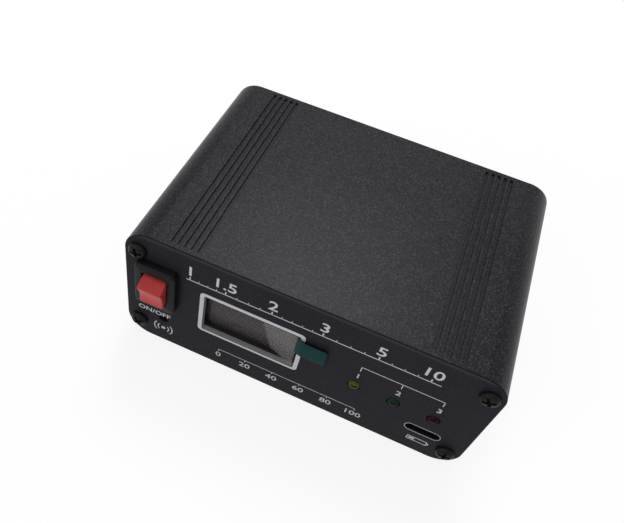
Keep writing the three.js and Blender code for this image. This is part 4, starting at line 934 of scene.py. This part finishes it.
def lamp_surface(x):
    """A lamp's body is turned: a dome, a barrel and its base flange."""
    dome = np.radians(np.linspace(0, 90, 16))
    barrel = [(1.5, 4.2), (1.58, 4.3), (1.85, 4.32), (1.9, 4.4), (1.9, 5.25), (1.85, 5.3), (0, 5.3)]
    profile = np.concatenate([np.stack([1.5 * np.sin(dome), 1.5 - 1.5 * np.cos(dome)], 1), barrel])
    return lathe(profile + (0, LAMP_TIP), x, LAMP_Z, 48)


def lamp_legs(x):
    """Two legs run back from the body and bend down through the board."""
    back = LAMP_TIP + 5.3
    path = smooth_path([
        [x, back - 0.2, LAMP_Z], [x, back + 2.0, LAMP_Z], [x, back + 3.1, LAMP_Z - 0.7],
        [x, back + 3.35, LAMP_Z - 2.2], [x, back + 3.35, 10.4]], 8)
    return [tube(path + (side * 1.27, 0, 0), 0.24, (1, 0, 0), 8) for side in (-1, 1)]


lamp_kinds = (("work", YELLOW_LAMP, "yellow_lamp"), ("full", GREEN_LAMP, "green_lamp"),
              ("charge", RED_LAMP, "red_lamp"))
for x, (label, finish, slot) in zip(LAMPS, lamp_kinds):
    piece(f"{label}_lamp_body", "case", finish, slot, [lamp_surface(x)], [f"{label}_lamp"])
    piece(f"{label}_lamp_legs", "case", TINNED, "tinned_copper", lamp_legs(x))


# --- Charging socket ------------------------------------------------------------------------

usb_front = FACE + 0.05


def inside_shell(middles, normals):
    """The faces of the charging shell's inner wall, which take painted shade."""
    x = np.clip(middles[:, 0] - USB_X, -2.84, 2.84)
    reach = np.hypot(middles[:, 0] - USB_X - x, middles[:, 2] - USB_Z)
    return (reach < 1.4) & (middles[:, 1] > usb_front + 0.13)


piece("charging_shell", "case", DULL_STEEL, "nickel", [plate(
    grown(USB_X, USB_Z, 8.94, 3.26, 1.629, 16), [grown(USB_X, USB_Z, 8.34, 2.66, 1.329, 16)],
    [(usb_front, 0.09), (usb_front + 0.03, 0.03), (usb_front + 0.12, 0.0),
     (usb_front + 7.35, 0.0)])],
    ["usb_shell"], 40, [(PAINTED_SHADE_STEEL, inside_shell)])
contact_x = USB_X + (np.arange(12) - 5.5) * 0.5
# The contacts take brass darkened as painted shade.
piece("charging_contacts", "case", PAINTED_SHADE_BRASS, "brass", [
    block((x - 0.12, usb_front + 1.0, USB_Z + side * 0.35 - 0.02),
          (x + 0.12, usb_front + 5.2, USB_Z + side * 0.35 + 0.02), 0.015, 2)
    for x in contact_x for side in (-1, 1)])


# --- Coaxial sockets ------------------------------------------------------------------------

def castellated(turn, half_angle, steepness=0.004):
    """One inside four equal notches at the quarter turns, nought between them."""
    quarter = (turn + math.pi / 4) % (math.pi / 2) - math.pi / 4
    return np.clip((half_angle - np.abs(quarter)) / steepness + 0.5, 0, 1)


def notched_turns(half_angle, plain=26):
    """Turns closely spaced at the walls of four notches."""
    edges = [0, half_angle - 0.004, half_angle + 0.004]
    quarter = np.concatenate([
        np.linspace(edges[0], edges[1], 4), np.linspace(edges[2], math.pi / 2 - edges[2], plain),
        np.linspace(math.pi / 2 - edges[1], math.pi / 2, 4, endpoint=False)])
    return np.concatenate([quarter + k * math.pi / 2 for k in range(4)])


def socket_body(x):
    """The threaded socket body. Every row is a radius and a depth at each turn: the barrel's
    radius rises and falls with the depth less the turn, which winds the thread, and the rim's
    depth drops in four notches."""
    half_angle = 0.8 / 6.85
    turn = notched_turns(half_angle)
    rows = [(5.0, 25.0), (7.6, 25.0), (7.9, 25.3), (7.9, REAR - 0.01), (7.95, REAR), (9.4, REAR),
            (9.6, REAR + 0.2), (9.6, 33.3), (9.4, 33.5), (7.5, 33.5)]
    rim = 45.5 - 1.1 * castellated(turn, half_angle)
    for share in np.linspace(0, 1, 150):
        y = 33.6 + share * (rim - 0.25 - 33.6)
        wave = (y / 1.058 - turn / (2 * math.pi)) % 1.0
        fade = np.clip((rim - 0.2 - y) / 0.5, 0, 1)
        rows.append((7.35 + 0.55 * (1 - np.abs(2 * wave - 1)) ** 0.8 * fade, y))
    rows += [(7.3, rim - 0.1), (7.15, rim), (5.95, rim), (5.8, rim - 0.15), (5.8, 33.6),
             (5.0, 33.5)]
    return loft(turned_rows(rows, turn, x, LINE_Z), wrap=True)


def socket_contact(x):
    """The centre contact: a tube slit four ways whose fingers end 0.5 mm inside the rim, a
    stem, and a solder cup inside the case."""
    half_angle = 0.25 / 2.45
    turn = notched_turns(half_angle, 12)
    tip = 45.0 - 5.0 * castellated(turn, half_angle)
    rows = [(0, 23.0), (1.15, 23.0), (1.15, 20.05), (1.2, 20.0), (1.55, 20.0), (1.6, 20.05),
            (1.6, 24.5), (1.75, 24.6), (1.75, 36.0), (2.8, 36.0), (2.9, 36.1), (2.9, tip - 0.3),
            (2.7, tip - 0.05), (2.5, tip), (2.2, tip), (2.0, tip - 0.25), (2.0, 36.6), (0, 36.5)]
    return loft(turned_rows(rows, turn, x, LINE_Z), (False, False))


INSULATOR = [(1.85, 25.0), (4.9, 25.0), (4.9, 33.6), (5.7, 33.6), (5.7, 43.5), (5.5, 43.7),
             (3.25, 43.7), (3.0, 43.45), (3.0, 35.9), (1.85, 35.9)]
for label, x in SOCKETS:
    piece(f"{label}_threaded_body", "case", NICKEL, "nickel", [socket_body(x)],
          [f"{label}_socket_body"], 40)
    piece(f"{label}_insulating_sleeve", "case", WHITE_PLASTIC, "white_plastic",
          [lathe(INSULATOR, x, LINE_Z, 72, wrap=True)], [f"{label}_socket_insulator"], 30)
    piece(f"{label}_slit_contact", "case", BRASS, "brass", [socket_contact(x)],
          [f"{label}_socket_contact"], 40)


# --- Windings and leads inside --------------------------------------------------------------

def winding(x, y):
    """Wire round a ring core: a squared loop about the core's section, from the superellipse
    powers of cosine and sine, carried round the ring from one side of its foot to the other."""
    loops, ring_radius = 10, 5.075
    share = np.linspace(0, 1, loops * 40 + 1)
    opened = math.radians(80)
    round_ = -math.pi / 2 + opened / 2 + (2 * math.pi - opened) * share
    turn = 2 * math.pi * loops * share

    def squared(wave):
        return np.sign(wave) * np.abs(wave) ** 0.4

    def foot(end):
        rise = np.linspace(BOARD_TOP + 0.1, end[2], 8, endpoint=False)
        return np.stack([np.full(8, end[0]), np.full(8, end[1]), rise], 1)

    radius = ring_radius + 1.92 * squared(np.cos(turn))
    line = np.stack([x + 3.04 * squared(np.sin(turn)), y + radius * np.cos(round_),
                     LINE_Z + radius * np.sin(round_)], 1)
    middle = np.stack([x + 0 * share, y + ring_radius * np.cos(round_),
                       LINE_Z + ring_radius * np.sin(round_)], 1)
    keep = np.concatenate([[True], np.linalg.norm(np.diff(line, axis=0), axis=1) > 0.02])
    line, middle = line[keep], middle[keep]
    outward = line - middle
    first_up, last_up = (np.tile(outward[k] + (0, 0.01, 0), (8, 1)) for k in (0, -1))
    path = np.concatenate([foot(line[0]), line, foot(line[-1])[::-1]])
    return tube(path, 0.25, np.concatenate([first_up, outward, last_up]), 8)


for label, x, y in (("current", -7.0, 10.0), ("voltage", 8.0, -3.0)):
    piece(f"{label}_coil", "case", COPPER, "enamelled_copper", [winding(x, y)],
          [f"{label}_winding"], 60)

half_line = np.array([
    [-20.5, 22.8, LINE_Z], [-20.5, 18.0, LINE_Z], [-20.5, 14.0, LINE_Z],
    [-19.34, 11.16, LINE_Z], [-16.5, 10.0, LINE_Z], [-12.5, 10.0, LINE_Z]])
line_points = np.concatenate([half_line, (half_line * (-1, 1, 1))[::-1]])
piece("line_wire", "case", TINNED, "tinned_copper",
      [tube(smooth_path(line_points, 10), 0.9, (0, 0, 1), 20)], ["through_line"])
foot, span = BOARD_TOP + 0.1, 5.5
sample_points = [
    [8 - span, -3, foot], [8 - span, -3, LINE_Z - span / 2], [8 - span * 0.65, -3, LINE_Z],
    [8 + span * 0.65, -3, LINE_Z], [8 + span, -3, LINE_Z - span / 2], [8 + span, -3, foot]]
piece("sampling_wire", "case", TINNED, "tinned_copper",
      [tube(smooth_path(sample_points, 12), 0.5, (0, 1, 0))], ["sample_wire"])

buzzer_x, buzzer_back = SOUND_X + 0.7, -24.9
lead_points = [
    [buzzer_x, buzzer_back + 0.1, SOUND_Z], [buzzer_x, buzzer_back + 0.7, SOUND_Z],
    [buzzer_x, buzzer_back + 2.5, SOUND_Z - 0.7], [buzzer_x, buzzer_back + 5, SOUND_Z],
    [buzzer_x, buzzer_back + 5, 11.03]]
piece("sounder_lead", "case", RED_LEAD, "red_lead",
      [tube(smooth_path(lead_points, 10), 0.65, (1, 0, 0))], ["buzzer_lead"])

for label, z, side, finish in (("common", 23.0, 1, RED_LEAD), ("load", 19.0, -1, BLACK_LEAD)):
    x, back = SWITCH_X + 0.6 * side, -13.8
    far = back + 2.5 * (2 if side > 0 else 1)
    points = [[x, back, z], [x, back + 0.6, z], [x, far, z - 1.25], [x, far, BOARD_TOP + 0.7],
              [x, far, BOARD_TOP + 0.1]]
    piece(f"{label}_terminal_lead", "case", finish, "red_lead" if side > 0 else "black_lead",
          [tube(smooth_path(points, 10), 0.56, (1, 0, 0))], [f"switch_lead_{label}"])

for number, (label, finish) in enumerate((("red", RED_LEAD), ("black", BLACK_LEAD))):
    offset = (number - 0.5) * 2
    start_x, turn_y = -27.0 + 4 + offset, -17.1 - 2 - offset
    points = [
        [start_x, -17.1, 4.6], [start_x, -17.75, 4.6], [start_x - 2, turn_y - 0.65, 4.6],
        [-33 - offset + 2, turn_y, 4.6], [-33 - offset, turn_y + 4, 5.865],
        [-33 - offset, -1.1, 7.13], [-33 - offset, 2.9, 7.13]]
    piece(f"cell_lead_{label}", "case", finish, f"{label}_lead",
          [tube(smooth_path(points, 12), 0.62, (0, 0, 1))], [f"battery_lead_{label}"])


# --- Print on the front plate ---------------------------------------------------------------

PRINT = [(FACE - 0.02, 0.0), (FACE + 0.02, 0.0)]


def bar(x0, x1, z0, z1, radius=0.02):
    """A printed bar between two corners."""
    return plate(grown((x0 + x1) / 2, (z0 + z1) / 2, x1 - x0, z1 - z0, radius, 2), [], PRINT)


def ticks(places, half, z0, z1):
    """Upright printed bars of one half width."""
    return [bar(x - half, x + half, z0, z1) for x in places]


def printed_arc(x, z, radius, width, start, end):
    """A printed band of an arc."""
    band = np.concatenate([arc(x, z, radius + width / 2, start, end, 24),
                           arc(x, z, radius - width / 2, end, start, 24)])
    return loft([at_depth(band, FACE - 0.02), at_depth(band, FACE + 0.02)])


def words(text, middle_x, low_z, height, wide=1.0, bold=0.0):
    """Printed figures: the text is made a mesh lying flat, then sized by its height, centred and
    stood on the plate. bold thickens its strokes by a share of the height."""
    curve = bpy.data.curves.new("figures", "FONT")
    curve.body = text
    curve.size = 1.0
    curve.resolution_u = 4
    curve.offset = bold
    curve.extrude = 0.02
    holder = bpy.data.objects.new("figures", curve)
    flat = bpy.data.meshes.new_from_object(holder)
    count = len(flat.vertices)
    points = np.zeros(count * 3)
    flat.vertices.foreach_get("co", points)
    points = points.reshape(-1, 3)
    faces = [tuple(p.vertices) for p in flat.polygons]
    bpy.data.objects.remove(holder)
    bpy.data.curves.remove(curve)
    bpy.data.meshes.remove(flat)
    low, high = points.min(0), points.max(0)
    scale = height / (high[1] - low[1])
    x = middle_x + (points[:, 0] - (low[0] + high[0]) / 2) * scale * wide
    z = low_z + (points[:, 1] - low[1]) * scale
    y = np.where(points[:, 2] > 0, FACE - 0.02, FACE + 0.02)
    return np.stack([x, y, z], 1), faces


def printed(name, surfaces):
    piece(name, "case", INK, "white_plastic", surfaces, sharp=20)


printed("window_border", [plate(
    grown(window_x, 19.25, 26.0, 14.9, 1.1, 8), [grown(window_x, 19.12, 23.95, 13.2, 0.45, 8)],
    PRINT)])
upper_marks = ((-27.4, "1"), (-18.6, "1.5"), (-7.4, "2"), (4.6, "3"), (17.4, "5"), (29.0, "10"))
upper_between = (-25.2, -23.0, -20.8, -15.8, -13.0, -10.2, -5.0, -2.6, -0.2, 2.2, 7.8, 11.0, 14.2,
                 20.3, 23.2, 26.1)
printed("upper_scale", [words(text, x, 31.0, 3.1, 1.15, 0.012) for x, text in upper_marks]
        + [bar(-28.3, 31.3, 29.3, 29.55)] + ticks([x for x, _ in upper_marks], 0.16, 29.4, 30.5)
        + ticks(upper_between, 0.08, 29.4, 30.1))
lower_marks = np.linspace(-18.4, 17.6, 6)
printed("lower_scale", [words(str(20 * i), x, 3.5, 1.9, 1.15, 0.01)
                        for i, x in enumerate(lower_marks)]
        + ticks(lower_marks, 0.1, 6.0, 6.7) + [bar(-18.5, 17.7, 6.6, 6.78)])
printed("lamp_figures", [words(str(i + 1), x, 19.6, 1.7, 1.1, 0.01) for i, x in enumerate(LAMPS)])
printed("lamp_bracket", [bar(LAMPS[0], LAMPS[2], 24.2, 24.4)] + ticks(LAMPS, 0.1, 22.6, 24.3))
printed("switch_words", [words("ON/OFF", -36.4, 10.2, 1.6, 1.1, 0.01)])
printed("sound_mark", [printed_arc(SOUND_X, 5.4, r, 0.3, a, b)
                       for r in (1.5, 2.5) for a, b in ((-42, 42), (138, 222))]
        + [loft([at_depth(circle(SOUND_X, 5.4, 0.55, 24), y) for y in (FACE - 0.02, FACE + 0.02)])])
printed("battery_mark", [
    plate(grown(33.6, 5.05, 5.0, 1.7, 0.2, 3), [grown(33.6, 5.05, 4.5, 1.2, 0.1, 3)], PRINT),
    bar(36.15, 36.5, 4.7, 5.4), bar(31.6, 33.0, 4.7, 5.4)])


# --- Materials of the pieces that stay as they are ------------------------------------------

kept = (
    (BRASS, "switch_plunger contact_lever terminal_common terminal_load"),
    (GLASS, "display_glass"),
    (BLUE_BOARD, "display_board"),
    (GREEN_BOARD, "main_board"),
    # The charging tongue: black plastic with painted shade, deep in its socket
    (BLACK_AND_SHADE, "usb_tongue"),
    (PLASTIC, "display_header buzzer microcontroller voltage_regulator"),
    (FERRITE, "current_core voltage_core"),
    (NICKEL, "capacitor antenna_socket_washer antenna_socket_nut"),
    (NICKEL, "radio_socket_washer radio_socket_nut"),
    (FOIL, "battery"),
    (WHITE_PLASTIC, "battery_socket battery_plug"),
)
for finish, names in kept:
    for node in (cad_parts[name] for name in names.split()):
        if node.material_slots:
            node.material_slots[0].material = finish
        else:
            node.data.materials.append(finish)


# --- Floor, light and camera ----------------------------------------------------------------

FLOOR_HALF, FLOOR_DROP = 3.0, 0.00005
floor_mesh = bpy.data.meshes.new("floor")
floor_mesh.from_pydata([(x * FLOOR_HALF, y * FLOOR_HALF, -FLOOR_DROP) for x, y in (
    (-1, -1), (1, -1), (1, 1), (-1, 1))], [], [(0, 1, 2, 3)])
floor_mesh.materials.append(GROUND)
in_scene("floor", floor_mesh)

# White to the camera, through film and in reflections, and dimmer as light on the object
world = bpy.data.worlds.new("studio")
bpy.context.scene.world = world
world.use_nodes = True
sky = world.node_tree
sky.nodes.clear()
seen, through, glossy = (add_node(sky, "ShaderNodeLightPath", output=f"Is {kind} Ray")
                         for kind in ("Camera", "Transmission", "Glossy"))
for other in (through, glossy):
    seen = add_node(sky, "ShaderNodeMath", {"operation": "MAXIMUM"}, {0: seen, 1: other})
ambient, white = (
    add_node(sky, "ShaderNodeBackground", inputs={"Color": (1, 1, 1, 1), "Strength": strength})
    for strength in (0.4, 1.0))
both = add_node(sky, "ShaderNodeMixShader", inputs={0: seen, 1: ambient, 2: white})
sky.links.new(both.socket, sky.nodes.new("ShaderNodeOutputWorld").inputs[0])


def soft_light(name, place, aim, size, power):
    """A square lamp at a place, turned to what it lights."""
    data = bpy.data.lights.new(name, "AREA")
    data.shape = "SQUARE"
    data.size = size
    data.energy = power
    made = in_scene(name, data)
    made.location = place
    made.rotation_mode = "QUATERNION"
    made.rotation_quaternion = (Vector(aim) - Vector(place)).to_track_quat("-Z", "Y")


soft_light("key", (-0.5, -0.8, 0.5), (0, 0, 0.02), 0.6, 3.0)
soft_light("top", (0.15, -0.1, 0.9), (0, 0, 0.02), 0.8, 1.4)
soft_light("back", (-0.08, 0.42, 0.735), (0, 0, 0.02), 0.32, 3.5)

# The camera fitted to the photo, in pixels: its size, focal length and the optical centre
PHOTO_WIDTH, PHOTO_HEIGHT, SENSOR_MM = 624.0, 523.0, 36.0
FOCAL, CENTRE_X, CENTRE_Y = 659.77, 250.0, 266.09
camera_data = bpy.data.cameras.new("camera")
camera_data.sensor_width = SENSOR_MM
camera_data.lens = FOCAL * SENSOR_MM / PHOTO_WIDTH
camera_data.shift_x = (PHOTO_WIDTH / 2 - CENTRE_X) / PHOTO_WIDTH
camera_data.shift_y = (CENTRE_Y - PHOTO_HEIGHT / 2) / PHOTO_WIDTH
camera_data.clip_start = 0.01
camera_data.clip_end = 50.0
camera = in_scene("camera", camera_data)
right = Vector((0.9106, 0.3982, 0.1104)).normalized()
ahead = Vector((-0.1716, 0.6076, -0.7755)).normalized()
up = right.cross(ahead)
camera.matrix_world = Matrix((
    (right.x, up.x, -ahead.x, 0.00906), (right.y, up.y, -ahead.y, -0.11387),
    (right.z, up.z, -ahead.z, 0.14753), (0, 0, 0, 1)))
bpy.context.scene.camera = camera
bpy.context.scene.view_settings.view_transform = "Standard"
